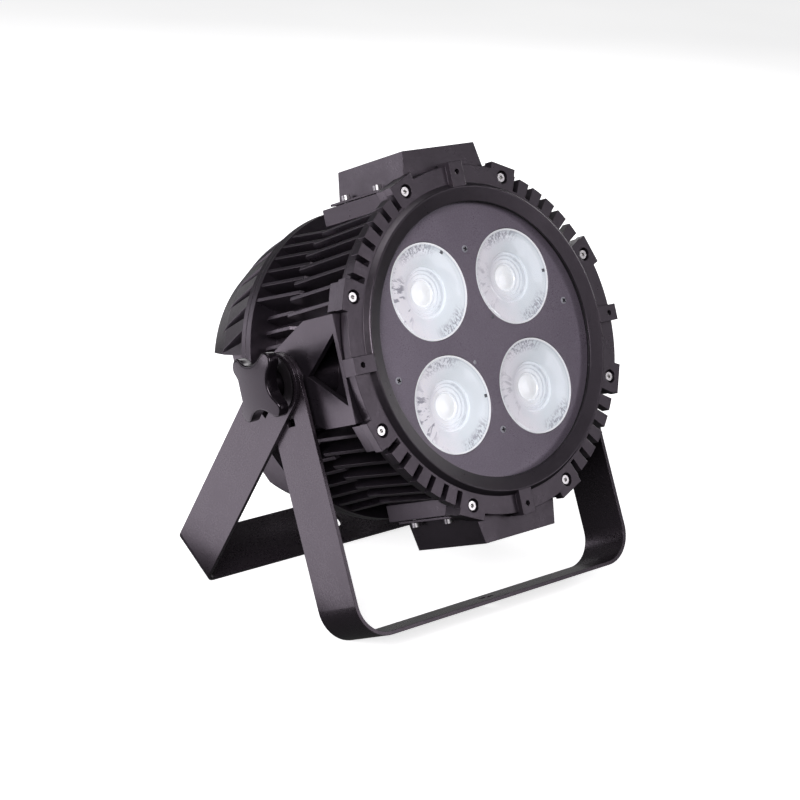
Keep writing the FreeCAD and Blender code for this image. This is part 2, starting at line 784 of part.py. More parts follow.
def add_front_fins(body):
    """Screw lands of the flange, the front fins that overhang the joint, and the ring's threads."""
    land_sketch = new_sketch(body, "land_outline", "XZ_Plane", lift="-" + HOUSING_FRONT)
    add_outline(land_sketch, land_corners("(Dim.screw_circle - Dim.land_half_width)", "Dim.land_inset"))
    land = extrude(body, "land", land_sketch, "Dim.flange_thick", back=True)
    repeat_round(body, "lands", [land], 8, "360")
    root = "(Dim.core_radius - Dim.fin_root)"
    nose = "Dim.front_fin_tip"
    first = fin(body, "fin", "Dim.front_fin_first", [
        (root, HOUSING_FRONT + " + Dim.fin_nose"),
        ("Dim.front_fin_front_radius", HOUSING_FRONT + " + Dim.fin_nose"),
        ("Dim.front_fin_tip_radius", nose + " - Dim.fin_nose"),
        ("Dim.front_fin_tip_radius - Dim.fin_nose", nose),
        (root, "Dim.split - Dim.fin_rake"),
    ])
    repeat_round(body, "fins", [first], 7, "6 * Dim.fin_pitch", mirrors=("YZ_Plane", "XY_Plane"))
    thread_sketch = new_sketch(body, "thread_outline", "XZ_Plane", lift="-" + HOUSING_FRONT)
    add_circle(thread_sketch, "Dim.screw_circle * cos(Dim.screw_offset)",
               "Dim.screw_circle * sin(Dim.screw_offset)", "Dim.cap_shank_radius + Dim.thread_gap")
    thread = extrude(body, "thread", thread_sketch, "Dim.flange_thick + Dim.overrun", cut=True)
    repeat_round(body, "threads", [thread], 8, "360")


def rear_relief(body):
    """Room behind the parting plane for the rear casting's core, under the fin tips and pads."""
    revolve(body, "rear_relief", [
        ("0", "Dim.split"), ("Dim.core_radius + Dim.split_seal", "Dim.split"),
        ("Dim.core_radius + Dim.split_seal", "Dim.pad_rear + Dim.overrun"),
        ("0", "Dim.pad_rear + Dim.overrun"),
    ], cut=True)


def ear_corners(inset):
    """Outline of a pivot ear, in depth and height, drawn in by an inset."""
    high = "(Dim.ear_half_height - %s)" % inset
    low = "-" + high
    front = "(%s + %s)" % (HOUSING_FRONT, inset)
    shoulder = "Dim.ear_shoulder"
    rear = "(Dim.pivot_depth + Dim.ear_hub_radius * cos(70) - %s)" % inset
    rear_high = "(Dim.ear_hub_radius * sin(70) - %s)" % inset
    return [(front, low), (shoulder, low), (rear, "-" + rear_high), (rear, rear_high),
            (shoulder, high), (front, high)]


def build_ears(body):
    """Hollow ear that carries the pivot: outer plate, side walls, round end and threaded hub."""
    plate_sketch = new_sketch(body, "ear_outline", "YZ_Plane", lift="Dim.ear_face")
    add_outline(plate_sketch, ear_corners("0 * Dim.ear_wall"))
    plate = extrude(body, "ear_plate", plate_sketch, "Dim.ear_plate", back=True)
    disc_sketch = new_sketch(body, "ear_disc_outline", "YZ_Plane", lift="Dim.ear_face")
    add_circle(disc_sketch, "Dim.pivot_depth", "0", "Dim.ear_hub_radius")
    disc = extrude(body, "ear_disc", disc_sketch, "Dim.ear_plate", back=True)
    wall_sketch = new_sketch(body, "ear_wall_outline", "YZ_Plane", lift="Dim.ear_face - Dim.ear_plate")
    add_outline(wall_sketch, ear_corners("0 * Dim.ear_wall"))
    add_outline(wall_sketch, ear_corners("Dim.ear_wall"))
    wall = extrude(body, "ear_walls", wall_sketch, "Dim.ear_face - Dim.ear_plate - Dim.ear_inner", back=True)
    hub_sketch = new_sketch(body, "hub_outline", "YZ_Plane", lift="Dim.ear_inner")
    add_circle(hub_sketch, "Dim.pivot_depth", "0", "Dim.hub_radius")
    hub = extrude(body, "hub", hub_sketch, "Dim.hub_face - Dim.ear_inner")
    window_sketch = new_sketch(body, "window_outline", "YZ_Plane", lift="Dim.ear_face")
    add_outline(window_sketch, [("Dim.window_front", "-Dim.window_half_height"),
                                ("Dim.window_apex", "0"),
                                ("Dim.window_front", "Dim.window_half_height")])
    window = extrude(body, "window", window_sketch, "Dim.ear_plate + Dim.overrun", cut=True)
    return [plate, disc, wall, hub, window]


def cut_trays(body):
    """Pockets in both box pads that take the drivers."""
    sketch = new_sketch(body, "tray_outline", lift="Dim.pad_height")
    add_outline(sketch, box_corners("-Dim.box_flange_inner", "Dim.box_flange_inner", *TRAY_RUN))
    tray = extrude(body, "tray", sketch, "Dim.pad_height - Dim.tray_floor", cut=True)
    mirror_over(body, "trays", [tray], ["XY_Plane"])


def cut_front_housing_holes(body):
    """Threaded holes for tie bolts, studs and box screws, and the passages for the box wires."""
    tie_sketch = new_sketch(body, "tie_bore_outline", "XZ_Plane", lift="-Dim.split")
    add_circle(tie_sketch, "Dim.lug_circle * cos(45)", "Dim.lug_circle * sin(45)",
               "Dim.tie_radius + Dim.thread_gap")
    tie = extrude(body, "tie_bore", tie_sketch, "Dim.tie_grip + Dim.overrun", cut=True, back=True)
    repeat_round(body, "tie_bores", [tie], 4, "360")
    stud_sketch = new_sketch(body, "stud_outline", "YZ_Plane", lift="Dim.hub_face")
    add_circle(stud_sketch, "Dim.pivot_depth", "0", "Dim.stud_radius + Dim.stud_gap")
    stud = extrude(body, "stud_bore", stud_sketch, "Dim.stud_reach + Dim.overrun", cut=True)
    mirror_over(body, "stud_bores", [stud], ["YZ_Plane"])
    wire_sketch = new_sketch(body, "wire_outline", "XY_Plane")
    add_circle(wire_sketch, "0", "(Dim.driver_front + Dim.driver_rear) / 2 + Dim.wire_hole_radius",
               "Dim.wire_hole_radius")
    extrude(body, "wire_holes", wire_sketch, "4 * Dim.pad_height", cut=True, both=True)
    box_sketch = new_sketch(body, "box_thread_outline", "XY_Plane", lift="Dim.pad_height")
    add_circle(box_sketch, "Dim.box_screw_reach", "Dim.box_screw_front",
               "Dim.cap_shank_radius + Dim.thread_gap")
    add_circle(box_sketch, "Dim.box_screw_reach", "Dim.box_screw_rear",
               "Dim.cap_shank_radius + Dim.thread_gap")
    box_thread = extrude(body, "box_thread", box_sketch, "Dim.cover_shank_length", cut=True)
    mirror_over(body, "box_threads", [box_thread], ["YZ_Plane", "XY_Plane"])


# Places of the cover screws, in steps of an eighth of a turn from the right-hand side
COVER_SCREWS = (0, 1, 3, 4, 5, 7)


def cover_screw_circles(sketch, radius):
    """Circles of one radius at every cover screw."""
    for step in COVER_SCREWS:
        add_circle(sketch, "Dim.cover_screw_circle * cos(%d * Dim.cover_screw_step)" % step,
                   "Dim.cover_screw_circle * sin(%d * Dim.cover_screw_step)" % step, radius)


def build_rear_housing():
    """Rear casting: core tube, closing rim, tall and short fins, inner lugs for the tie bolts."""
    body = new_body("rear_housing")
    revolve(body, "core", [
        ("0", REAR_START), ("Dim.core_radius", REAR_START), ("Dim.core_radius", "Dim.rim_front"),
        ("Dim.rim_radius", "Dim.rim_front"), ("Dim.rim_radius", "Dim.rim_rear"), ("0", "Dim.rim_rear"),
    ])
    root = "(Dim.core_radius - Dim.fin_root)"
    tall = fin(body, "fin", "Dim.rear_fin_first", [
        (root, REAR_START + " + Dim.fin_rake"),
        ("Dim.rear_fin_tip_radius - Dim.fin_nose", "Dim.rear_fin_tip"),
        ("Dim.rear_fin_tip_radius", "Dim.rear_fin_tip + Dim.fin_nose"),
        ("Dim.rear_fin_rear_radius", "Dim.rim_front + Dim.fin_nose"),
        (root, "Dim.rim_front + Dim.fin_nose"),
    ])
    repeat_round(body, "fins", [tall], 6, "5 * Dim.fin_pitch", mirrors=("YZ_Plane", "XY_Plane"))
    short = fin(body, "short_fin", "Dim.short_fin_first", [
        (root, "Dim.short_fin_front"),
        ("Dim.short_fin_radius - Dim.short_fin_nose", "Dim.short_fin_front"),
        ("Dim.short_fin_radius", "Dim.short_fin_front + Dim.short_fin_nose"),
        ("Dim.short_fin_radius", "Dim.short_fin_rear - Dim.fin_nose"),
        ("Dim.short_fin_radius - Dim.fin_nose", "Dim.short_fin_rear"),
        (root, "Dim.short_fin_rear"),
    ])
    repeat_round(body, "short_fins", [short], 3, "2 * Dim.fin_pitch", mirrors=("YZ_Plane", "XY_Plane"))
    revolve(body, "cavity", [
        ("0", REAR_START + " - Dim.overrun"), (CORE_INNER, REAR_START + " - Dim.overrun"),
        (CORE_INNER, "Dim.rim_rear + Dim.overrun"), ("0", "Dim.rim_rear + Dim.overrun"),
    ], cut=True)
    lug_sketch = new_sketch(body, "lug_outline", "XZ_Plane", lift="-" + REAR_START)
    add_circle(lug_sketch, "Dim.lug_circle * cos(45)", "Dim.lug_circle * sin(45)", "Dim.lug_radius")
    lug = extrude(body, "lug", lug_sketch, "Dim.lug_length", back=True)
    bore_sketch = new_sketch(body, "lug_bore_outline", "XZ_Plane", lift="-" + REAR_START)
    add_circle(bore_sketch, "Dim.lug_circle * cos(45)", "Dim.lug_circle * sin(45)",
               "Dim.tie_radius + Dim.thread_gap")
    bore = extrude(body, "lug_bore", bore_sketch, "Dim.lug_length + Dim.overrun", cut=True)
    repeat_round(body, "lugs", [lug, bore], 4, "360")
    thread_sketch = new_sketch(body, "thread_outline", "XZ_Plane", lift="-Dim.rim_rear")
    cover_screw_circles(thread_sketch, "Dim.cap_shank_radius + Dim.thread_gap")
    extrude(body, "threads", thread_sketch, "Dim.rim_rear - Dim.rim_front + Dim.overrun",
            cut=True, back=True)
    return keep(body, "head")


def build_rear_cover():
    """Rear cover: domed hood above, narrower spine below, saw-tooth recesses round the rim."""
    shell = new_body("cover_shell")
    revolve(shell, "dome", [
        ("0", COVER_FRONT), ("Dim.rim_radius", COVER_FRONT), ("Dim.rim_radius", DOME_FRONT),
        ("Dim.dome_front_radius", DOME_FRONT),
        ("Dim.dome_mid_radius", DOME_FRONT + " + Dim.dome_mid_rise"),
        ("Dim.dome_rear_radius", DOME_FRONT + " + Dim.dome_rear_rise"),
        ("Dim.cover_back_radius", COVER_BACK), ("0", COVER_BACK),
    ])
    cut_sides(shell, DOME_FRONT, "0 * Dim.cover_wall")
    cut_recesses(shell)
    cut_cover_holes(shell)
    hollow = new_body("cover_hollow")
    inner_back = "(%s - Dim.cover_wall)" % COVER_BACK
    revolve(hollow, "dome", [
        ("0", COVER_FRONT + " - Dim.overrun"), ("Dim.cavity_radius", COVER_FRONT + " - Dim.overrun"),
        ("Dim.cavity_radius", DOME_FRONT + " + Dim.cavity_run"),
        ("Dim.cavity_rear_radius", DOME_FRONT + " + Dim.dome_rear_rise"),
        ("Dim.cover_back_radius - Dim.cover_wall", inner_back), ("0", inner_back),
    ])
    cut_sides(hollow, COVER_FRONT + " - 2 * Dim.overrun", "Dim.cover_wall")
    return keep(less("rear_cover", shell, hollow), "head")


def cut_sides(body, front, wall):
    """Takes both sides away below the hood's lip, each face moved in by a wall."""
    sketch = new_sketch(body, "side_outline", "YZ_Plane", lift="Dim.spine_half_width - " + wall)
    low = "-(Dim.rim_radius + Dim.overrun)"
    add_outline(sketch, [
        (front, low), (COVER_BACK + " + Dim.overrun", low),
        (COVER_BACK + " + Dim.overrun", "Dim.hood_lip_rear + " + wall),
        (front, "Dim.hood_lip_front + " + wall),
    ])
    side = extrude(body, "side", sketch, "Dim.rim_radius", cut=True, back=True)
    mirror_over(body, "sides", [side], ["YZ_Plane"])


def cut_recesses(body):
    """Saw-tooth recesses that open at the rim and run out on the dome."""
    for name, count, side in (("upper", 8, "1"), ("lower", 3, "-1")):
        angle = "Dim.recess_step" if side == "1" else "180 - Dim.recess_step"
        sketch = body.newObject("Sketcher::SketchObject", body.Name + "_" + name + "_recess_outline")
        sketch.AttachmentSupport = [(origin_feature(body, "XY_Plane"), "")]
        sketch.MapMode = "FlatFace"
        turn = Rotation(Y_AXIS, -num(angle))
        sketch.AttachmentOffset = Placement(turn.multVec(Vector(0, 0, num("Dim.recess_floor"))), turn)
        sketch.setExpression("AttachmentOffset.Rotation.Angle", angle)
        sketch.setExpression("AttachmentOffset.Base.x", "-Dim.recess_floor * sin(%s)" % angle)
        sketch.setExpression("AttachmentOffset.Base.z", "Dim.recess_floor * cos(%s)" % angle)
        half = "Dim.recess_width / 2"
        outer = "-(%s)" % half if side == "1" else half
        inner = half if side == "1" else "-(%s)" % half
        add_outline(sketch, [(inner, DOME_FRONT), (outer, DOME_FRONT),
                             (outer, DOME_FRONT + " + Dim.recess_length")])
        recess = extrude(body, name + "_recess", sketch, "Dim.rim_radius - Dim.recess_floor + Dim.overrun",
                         cut=True, back=True)
        sweep = "(%d) * Dim.recess_step" % (count - 1)
        sweep = "-" + sweep if side == "1" else sweep
        repeat_round(body, name + "_recesses", [recess], count, sweep, mirrors=("YZ_Plane",))


def cut_cover_holes(body):
    """Screw holes in the flange, and the display, button, socket and vent openings in the back."""
    screw_sketch = new_sketch(body, "screw_outline", "XZ_Plane", lift="-" + COVER_FRONT)
    cover_screw_circles(screw_sketch, "Dim.cap_shank_radius + Dim.slack")
    extrude(body, "screw_holes", screw_sketch, "Dim.cover_flange", cut=True)
    display_sketch = new_sketch(body, "display_outline", "XZ_Plane", lift="-" + COVER_BACK)
    add_outline(display_sketch, box_corners(
        "-Dim.display_half_width", "Dim.display_half_width",
        "Dim.display_height - Dim.display_half_height", "Dim.display_height + Dim.display_half_height"))
    extrude(body, "display_seat", display_sketch, "Dim.display_sink", cut=True, back=True)
    hole_sketch = new_sketch(body, "panel_hole_outline", "XZ_Plane", lift="-" + COVER_BACK)
    for index in range(4):
        add_circle(hole_sketch, button_across(index), "Dim.button_height",
                   "Dim.button_radius + Dim.button_gap")
        add_circle(hole_sketch, socket_across(index), "Dim.socket_height", "Dim.socket_radius + Dim.slack")
    add_circle(hole_sketch, "0", "Dim.vent_height", "Dim.vent_stem + Dim.slack")
    extrude(body, "panel_holes", hole_sketch, "2 * Dim.cover_wall", cut=True, back=True)


# Buttons and sockets on the back, in order across it
BUTTONS = ("menu_button", "down_button", "up_button", "enter_button")
SOCKETS = ("power_in_socket", "power_out_socket", "signal_in_socket", "signal_out_socket")


def button_across(index):
    """Place of one button across the back."""
    return "%s * Dim.button_pitch" % (index - 1.5)


def socket_across(index):
    """Place of one socket across the back."""
    return "%s * Dim.socket_pitch" % (index - 1.5)


def build_back_fittings():
    """Display window, four buttons, four sealed sockets and a vent plug."""
    window = new_body("display_window")
    sketch = new_sketch(window, "outline", "XZ_Plane", lift="Dim.display_sink - %s" % COVER_BACK)
    add_outline(sketch, box_corners(
        "-Dim.display_half_width + Dim.slack", "Dim.display_half_width - Dim.slack",
        "Dim.display_height - Dim.display_half_height + Dim.slack",
        "Dim.display_height + Dim.display_half_height - Dim.slack"))
    extrude(window, "pane", sketch, "Dim.display_thick", back=True)
    keep(window, "head")
    for name in BUTTONS:
        build_button(name)
    for name in SOCKETS:
        build_socket(name)
    vent = new_body("vent_plug")
    revolve(vent, "section", [
        ("0", "-Dim.cover_wall - Dim.vent_thick"), ("Dim.vent_stem", "-Dim.cover_wall - Dim.vent_thick"),
        ("Dim.vent_stem", "0"), ("Dim.vent_radius", "0"),
        ("Dim.vent_radius", "Dim.vent_thick / 2"), ("Dim.vent_stem", "Dim.vent_thick"),
        ("0", "Dim.vent_thick"),
    ])
    keep(vent, "vent_plug")


def build_button(name):
    """Sprung push button: round cap with an inner collar."""
    body = new_body(name)
    collar = "Dim.button_radius + Dim.button_collar"
    seat = "-(Dim.cover_wall + Dim.button_gap)"
    revolve(body, "section", [
        ("0", seat + " - Dim.button_collar"), (collar, seat + " - Dim.button_collar"), (collar, seat),
        ("Dim.button_radius", seat), ("Dim.button_radius", "Dim.button_proud - Dim.button_gap"),
        ("Dim.button_radius - Dim.button_gap", "Dim.button_proud"), ("0", "Dim.button_proud"),
    ])
    keep(body, name)


def build_socket(name):
    """Sealed panel socket: nut, threaded barrel with an open bore, and inner tail."""
    body = new_body(name)
    revolve(body, "section", [
        ("0", "-Dim.cover_wall - Dim.socket_tail"),
        ("Dim.socket_radius", "-Dim.cover_wall - Dim.socket_tail"),
        ("Dim.socket_radius", "0"), ("Dim.socket_nut_radius", "0"),
        ("Dim.socket_nut_radius", "Dim.socket_nut_thick"), ("Dim.socket_radius", "Dim.socket_nut_thick"),
        ("Dim.socket_radius", "Dim.socket_length"), ("Dim.socket_bore", "Dim.socket_length"),
        ("Dim.socket_bore", "Dim.socket_length - Dim.socket_bore_depth"),
        ("0", "Dim.socket_length - Dim.socket_bore_depth"),
    ], turn="Dim.socket_roll")
    keep(body, name)


def build_box(name, frame):
    """Lid over one pad: sloped sides, thick foot frame, two screw flanges."""
    body = new_body(name)
    low = "(Dim.pad_height + Dim.box_seal)"
    outer = new_sketch(body, "outer_outline", "XZ_Plane", lift="-Dim.box_front")
    add_outline(outer, [("-Dim.box_half_width", low), ("Dim.box_half_width", low),
                        ("Dim.box_top_half_width", "Dim.box_top"),
                        ("-Dim.box_top_half_width", "Dim.box_top")])
    extrude(body, "shell", outer, "Dim.box_rear - Dim.box_front", back=True)
    flange = new_sketch(body, "flange_outline", "XY_Plane", lift=low)
    add_outline(flange, box_corners("-Dim.pad_half_width", "Dim.pad_half_width",
                                    "Dim.box_flange_front", "Dim.box_rear"))
    extrude(body, "flange", flange, "Dim.box_flange_thick")
    inner = new_sketch(body, "inner_outline", "XZ_Plane", lift="-(Dim.box_front + Dim.box_skin)")
    floor = "(Dim.box_relief + Dim.box_skin)"
    fall = "(Dim.box_half_width - Dim.box_top_half_width) / (Dim.box_top - %s)" % low
    wide = "(Dim.box_half_width - Dim.box_skin - (%s - %s) * %s)" % (floor, low, fall)
    narrow = "(Dim.box_top_half_width - Dim.box_skin)"
    add_outline(inner, [
        ("-" + wide, floor), (wide, floor),
        (narrow, "Dim.box_top - Dim.box_skin"), ("-" + narrow, "Dim.box_top - Dim.box_skin")])
    extrude(body, "hollow", inner, "Dim.box_rear - Dim.box_front - 2 * Dim.box_skin", cut=True)
    foot = new_sketch(body, "foot_outline", "XY_Plane", lift=floor)
    add_outline(foot, box_corners("-Dim.box_flange_inner", "Dim.box_flange_inner", *TRAY_RUN))
    extrude(body, "foot", foot, "%s - %s" % (floor, low), cut=True)
    relief = new_sketch(body, "relief_outline", "YZ_Plane")
    add_outline(relief, box_corners("Dim.box_front - Dim.overrun", FLANGE_BACK + " + Dim.seam",
                                    low + " - Dim.overrun", "Dim.box_relief"))
    extrude(body, "relief", relief, "4 * Dim.box_half_width", cut=True, both=True)
    holes = new_sketch(body, "hole_outline", "XY_Plane", lift=low + " + Dim.box_flange_thick")
    for side in ("", "-"):
        for depth in ("Dim.box_screw_front", "Dim.box_screw_rear"):
            add_circle(holes, side + "Dim.box_screw_reach", depth, "Dim.cap_shank_radius + Dim.slack")
    extrude(body, "holes", holes, "Dim.box_flange_thick + Dim.overrun", cut=True)
    return keep(body, frame)


def build_box_seal(name, frame):
    """Flat seal under a box's foot, cut as a frame."""
    body = new_body(name)
    sketch = new_sketch(body, "outline", "XY_Plane", lift="Dim.pad_height")
    add_outline(sketch, box_corners("-Dim.box_half_width", "Dim.box_half_width",
                                    "Dim.box_flange_front", "Dim.box_rear"))
    add_outline(sketch, box_corners("-Dim.box_flange_inner", "Dim.box_flange_inner", *TRAY_RUN))
    extrude(body, "frame", sketch, "Dim.box_seal")
    return keep(body, frame)


def build_driver(name, frame):
    """Potted supply block that stands in a pad's tray inside a box."""
    body = new_body(name)
    sketch = new_sketch(body, "outline", "XY_Plane", lift="Dim.tray_floor")
    add_outline(sketch, box_corners("-Dim.driver_half_width", "Dim.driver_half_width",
                                    "Dim.driver_front", "Dim.driver_rear"))
    extrude(body, "block", sketch, "Dim.driver_height")
    return keep(body, frame)


def build_main_board():
    """Control board on four posts behind the web, with coils and capacitors."""
    body = new_body("main_board")
    board = new_sketch(body, "board_outline", "XZ_Plane", lift="-Dim.board_place")
    add_circle(board, "0", "0", "Dim.board_radius")
    extrude(body, "board", board, "Dim.board_thick", back=True)
    posts = new_sketch(body, "post_outline", "XZ_Plane", lift="-(Dim.web_front + Dim.web_thick)")
    add_circle(posts, "Dim.board_post_circle", "0", "Dim.board_post_radius")
    post = extrude(body, "post", posts, "Dim.board_place - Dim.web_front - Dim.web_thick", back=True)
    repeat_round(body, "posts", [post], 4, "360")
    coils = new_sketch(body, "coil_outline", "XZ_Plane", lift="-(Dim.board_place + Dim.board_thick)")
    add_circle(coils, "Dim.coil_place", "Dim.coil_place / 2", "Dim.coil_radius")
    add_circle(coils, "-Dim.coil_place / 2", "Dim.coil_place", "Dim.coil_radius")
    extrude(body, "coils", coils, "Dim.coil_height", back=True)
    capacitors = new_sketch(body, "capacitor_outline", "XZ_Plane",
                            lift="-(Dim.board_place + Dim.board_thick)")
    add_circle(capacitors, "-Dim.capacitor_place", "-Dim.capacitor_place / 2", "Dim.capacitor_radius")
    add_circle(capacitors, "0", "-Dim.capacitor_place", "Dim.capacitor_radius")
    add_circle(capacitors, "Dim.capacitor_place", "-Dim.capacitor_place", "Dim.capacitor_radius")
    extrude(body, "capacitors", capacitors, "Dim.capacitor_height", back=True)
    return keep(body, "head")


def build_bracket(name, face, length, bend):
    """Bent steel bracket: two legs with round ends and a crossbar, drawn from its pivot line."""
    body = new_body(name)
    thick = "Dim.bracket_thick"
    sketch = new_sketch(body, "outline", "XZ_Plane")
    inner = "(%s - %s)" % (face, thick)
    floor = "-(%s - %s)" % (length, thick)
    add_outline(sketch, [
        ("-" + face, "0"), ("-" + face, "-" + length), (face, "-" + length), (face, "0"),
        (inner, "0"), (inner, floor), ("-" + inner, floor), ("-" + inner, "0"),
    ])
    strip = extrude(body, "strip", sketch, "Dim.bracket_width", both=True)
    doc.recompute()
    bends = {"outer": (num(face), -num(length), bend),
             "inner": (num(inner), num(floor), "%s - %s" % (bend, thick))}
    base = strip
    for label, (across, down, radius) in bends.items():
        names = []
        for index, edge in enumerate(base.Shape.Edges, start=1):
            box = edge.BoundBox
            along = box.YLength > num("Dim.bracket_width / 2")
            near = abs(abs(box.Center.x) - across) + abs(box.Center.z - down) < num("Dim.slack")
            if along and near:
                names.append("Edge%d" % index)
        rounding = body.newObject("PartDesign::Fillet", "%s_%s_bend" % (name, label))
        rounding.Base = (base, names)
        rounding.setExpression("Radius", radius)
        doc.recompute()
        base = rounding
    end_sketch = new_sketch(body, "end_outline", "YZ_Plane", lift=inner)
    add_circle(end_sketch, "0", "0", "Dim.bracket_width / 2")
    end = extrude(body, "end", end_sketch, thick)
    mirror_over(body, "ends", [end], ["YZ_Plane"])
    holes = new_sketch(body, "pivot_outline", "YZ_Plane")
    add_circle(holes, "0", "0", "Dim.stud_radius + Dim.stud_gap")
    half = "Dim.index_slot_side / 2"
    add_outline(holes, box_corners("-" + half, half, "-Dim.index_slot_place - " + half,
                                   "-Dim.index_slot_place + " + half))
    extrude(body, "leg_holes", holes, "3 * %s" % face, cut=True, both=True)
    hang = new_sketch(body, "hang_outline", "XY_Plane", lift="-" + length)
    add_circle(hang, "0", "0", "Dim.hang_hole_radius")
    extrude(body, "hang_hole", hang, thick + " + Dim.overrun", cut=True, back=True)
    return keep(body, name)


# Clamp stack outwards from the outer bracket face, as expressions
REAR_FACE = "(Dim.front_bracket_face + Dim.bracket_gap + Dim.bracket_thick)"
WASHER_START = "(%s + Dim.stack_gap)" % REAR_FACE
KNOB_START = "(%s + Dim.washer_thick)" % WASHER_START
LOBE_START = "(%s + Dim.knob_hub)" % KNOB_START


def build_knob(side):
    """Four-lobed clamp knob with its hub, drawn on the right-hand side."""
    body = new_body(side + "_knob")
    lobe_sketch = new_sketch(body, "lobe_outline", "YZ_Plane", lift=LOBE_START)
    add_circle(lobe_sketch, "0", "0", "Dim.knob_reach")
    extrude(body, "disc", lobe_sketch, "Dim.knob_thick")
    scoop_sketch = new_sketch(body, "scoop_outline", "YZ_Plane", lift=LOBE_START + " - Dim.overrun")
    valley = "(Dim.knob_valley_floor + Dim.knob_valley_radius)"
    for sign in ("", "-"):
        add_circle(scoop_sketch, "0", sign + valley, "Dim.knob_valley_radius")
        add_circle(scoop_sketch, sign + valley, "0", "Dim.knob_valley_radius")
    scoops = extrude(body, "scoops", scoop_sketch, "Dim.knob_thick + 2 * Dim.overrun", cut=True, back=True)
    doc.recompute()
    names = []
    for index, edge in enumerate(scoops.Shape.Edges, start=1):
        if edge.BoundBox.XLength > num("Dim.knob_thick / 2"):
            names.append("Edge%d" % index)
    corners = body.newObject("PartDesign::Fillet", body.Name + "_corners")
    corners.Base = (scoops, names)
    corners.setExpression("Radius", "Dim.knob_corner")
    doc.recompute()
    outer = num(LOBE_START + " + Dim.knob_thick")
    inner = num(LOBE_START)
    names = []
    for index, edge in enumerate(corners.Shape.Edges, start=1):
        box = edge.BoundBox
        nearest = min(abs(box.XMin - outer), abs(box.XMin - inner))
        if box.XLength < num("Dim.slack") and nearest < num("Dim.slack"):
            names.append("Edge%d" % index)
    rounding = body.newObject("PartDesign::Fillet", body.Name + "_rounding")
    rounding.Base = (corners, names)
    rounding.setExpression("Radius", "Dim.knob_round")
    hub_sketch = new_sketch(body, "hub_outline", "YZ_Plane", lift=KNOB_START)
    add_circle(hub_sketch, "0", "0", "Dim.knob_hub_radius")
    extrude(body, "hub", hub_sketch, "Dim.knob_hub + Dim.knob_round")
    bore_sketch = new_sketch(body, "bore_outline", "YZ_Plane", lift=KNOB_START)
    add_circle(bore_sketch, "0", "0", "Dim.stud_radius + Dim.stud_gap")
    extrude(body, "bore", bore_sketch, "Dim.knob_hub + Dim.stud_seat", cut=True, back=True)
    return keep(body, side + "_clamp")


def build_clamp(side):
    """Stud and washer of one knob, drawn on the right-hand side."""
    stud = new_body(side + "_stud")
    stud_sketch = new_sketch(stud, "outline", "YZ_Plane", lift="Dim.hub_face - Dim.stud_reach")
    add_circle(stud_sketch, "0", "0", "Dim.stud_radius")
    extrude(stud, "bar", stud_sketch, "%s + Dim.stud_seat - Dim.hub_face + Dim.stud_reach" % LOBE_START)
    keep(stud, side + "_clamp")
    washer = new_body(side + "_washer")
    washer_sketch = new_sketch(washer, "outline", "YZ_Plane", lift=WASHER_START)
    add_circle(washer_sketch, "0", "0", "Dim.washer_radius")
    add_circle(washer_sketch, "0", "0", "Dim.stud_radius + Dim.stud_gap")
    extrude(washer, "disc", washer_sketch, "Dim.washer_thick")
    keep(washer, side + "_clamp")


def build_screw_sets():
    """Ring screws, cover screws, box screws and the tie bolts of the two castings."""
    cap = cap_screw("cap_screw", "Dim.cap_head_radius", "Dim.cap_head_height", "Dim.cap_shank_radius",
                    "Dim.cap_shank_length", "Dim.cap_socket", "Dim.cap_socket_depth")
    short = cap_screw("short_screw", "Dim.cap_head_radius", "Dim.cap_head_height", "Dim.cap_shank_radius",
                      "Dim.cover_shank_length", "Dim.cap_socket", "Dim.cap_socket_depth")
    tie = cap_screw("tie_screw", "Dim.tie_head_radius", "Dim.tie_head_height", "Dim.tie_radius",
                    "Dim.lug_length + Dim.split_seal + Dim.tie_grip", "Dim.tie_radius",
                    "Dim.tie_head_height / 2")
    doc.recompute()
    ring_places = []
    for index in range(8):
        angle = math.radians(num("Dim.screw_offset + %d * Dim.screw_step" % index))
        ring_places.append(on_circle(num("Dim.screw_circle"), angle,
                                     num("Dim.cap_sink - Dim.ring_face"), FRONTWARD))
    scatter("ring_screws", cap, ring_places)
    cover_places = []
    for step in COVER_SCREWS:
        angle = math.radians(num("%d * Dim.cover_screw_step" % step))
        cover_places.append(on_circle(num("Dim.cover_screw_circle"), angle, num(DOME_FRONT), BACKWARD))
    scatter("cover_screws", short, cover_places)
    tie_places = []
    for index in range(4):
        angle = math.radians(num("45 + 90 * %d" % index))
        tie_places.append(on_circle(num("Dim.lug_circle"), angle,
                                    num(REAR_START + " + Dim.lug_length"), BACKWARD))
    scatter("tie_bolts", tie, tie_places)
    box_places = []
    head = num("Dim.pad_height + Dim.box_seal + Dim.box_flange_thick")
    for up in (1, -1):
        for across in (1, -1):
            for depth in ("Dim.box_screw_front", "Dim.box_screw_rear"):
                spot = Vector(across * num("Dim.box_screw_reach"), num(depth), up * head)
                turn = Rotation(X_AXIS, 0 if up > 0 else PART_TURN / 2)
                box_places.append(Placement(spot, turn))
    scatter("box_screws", short, box_places)


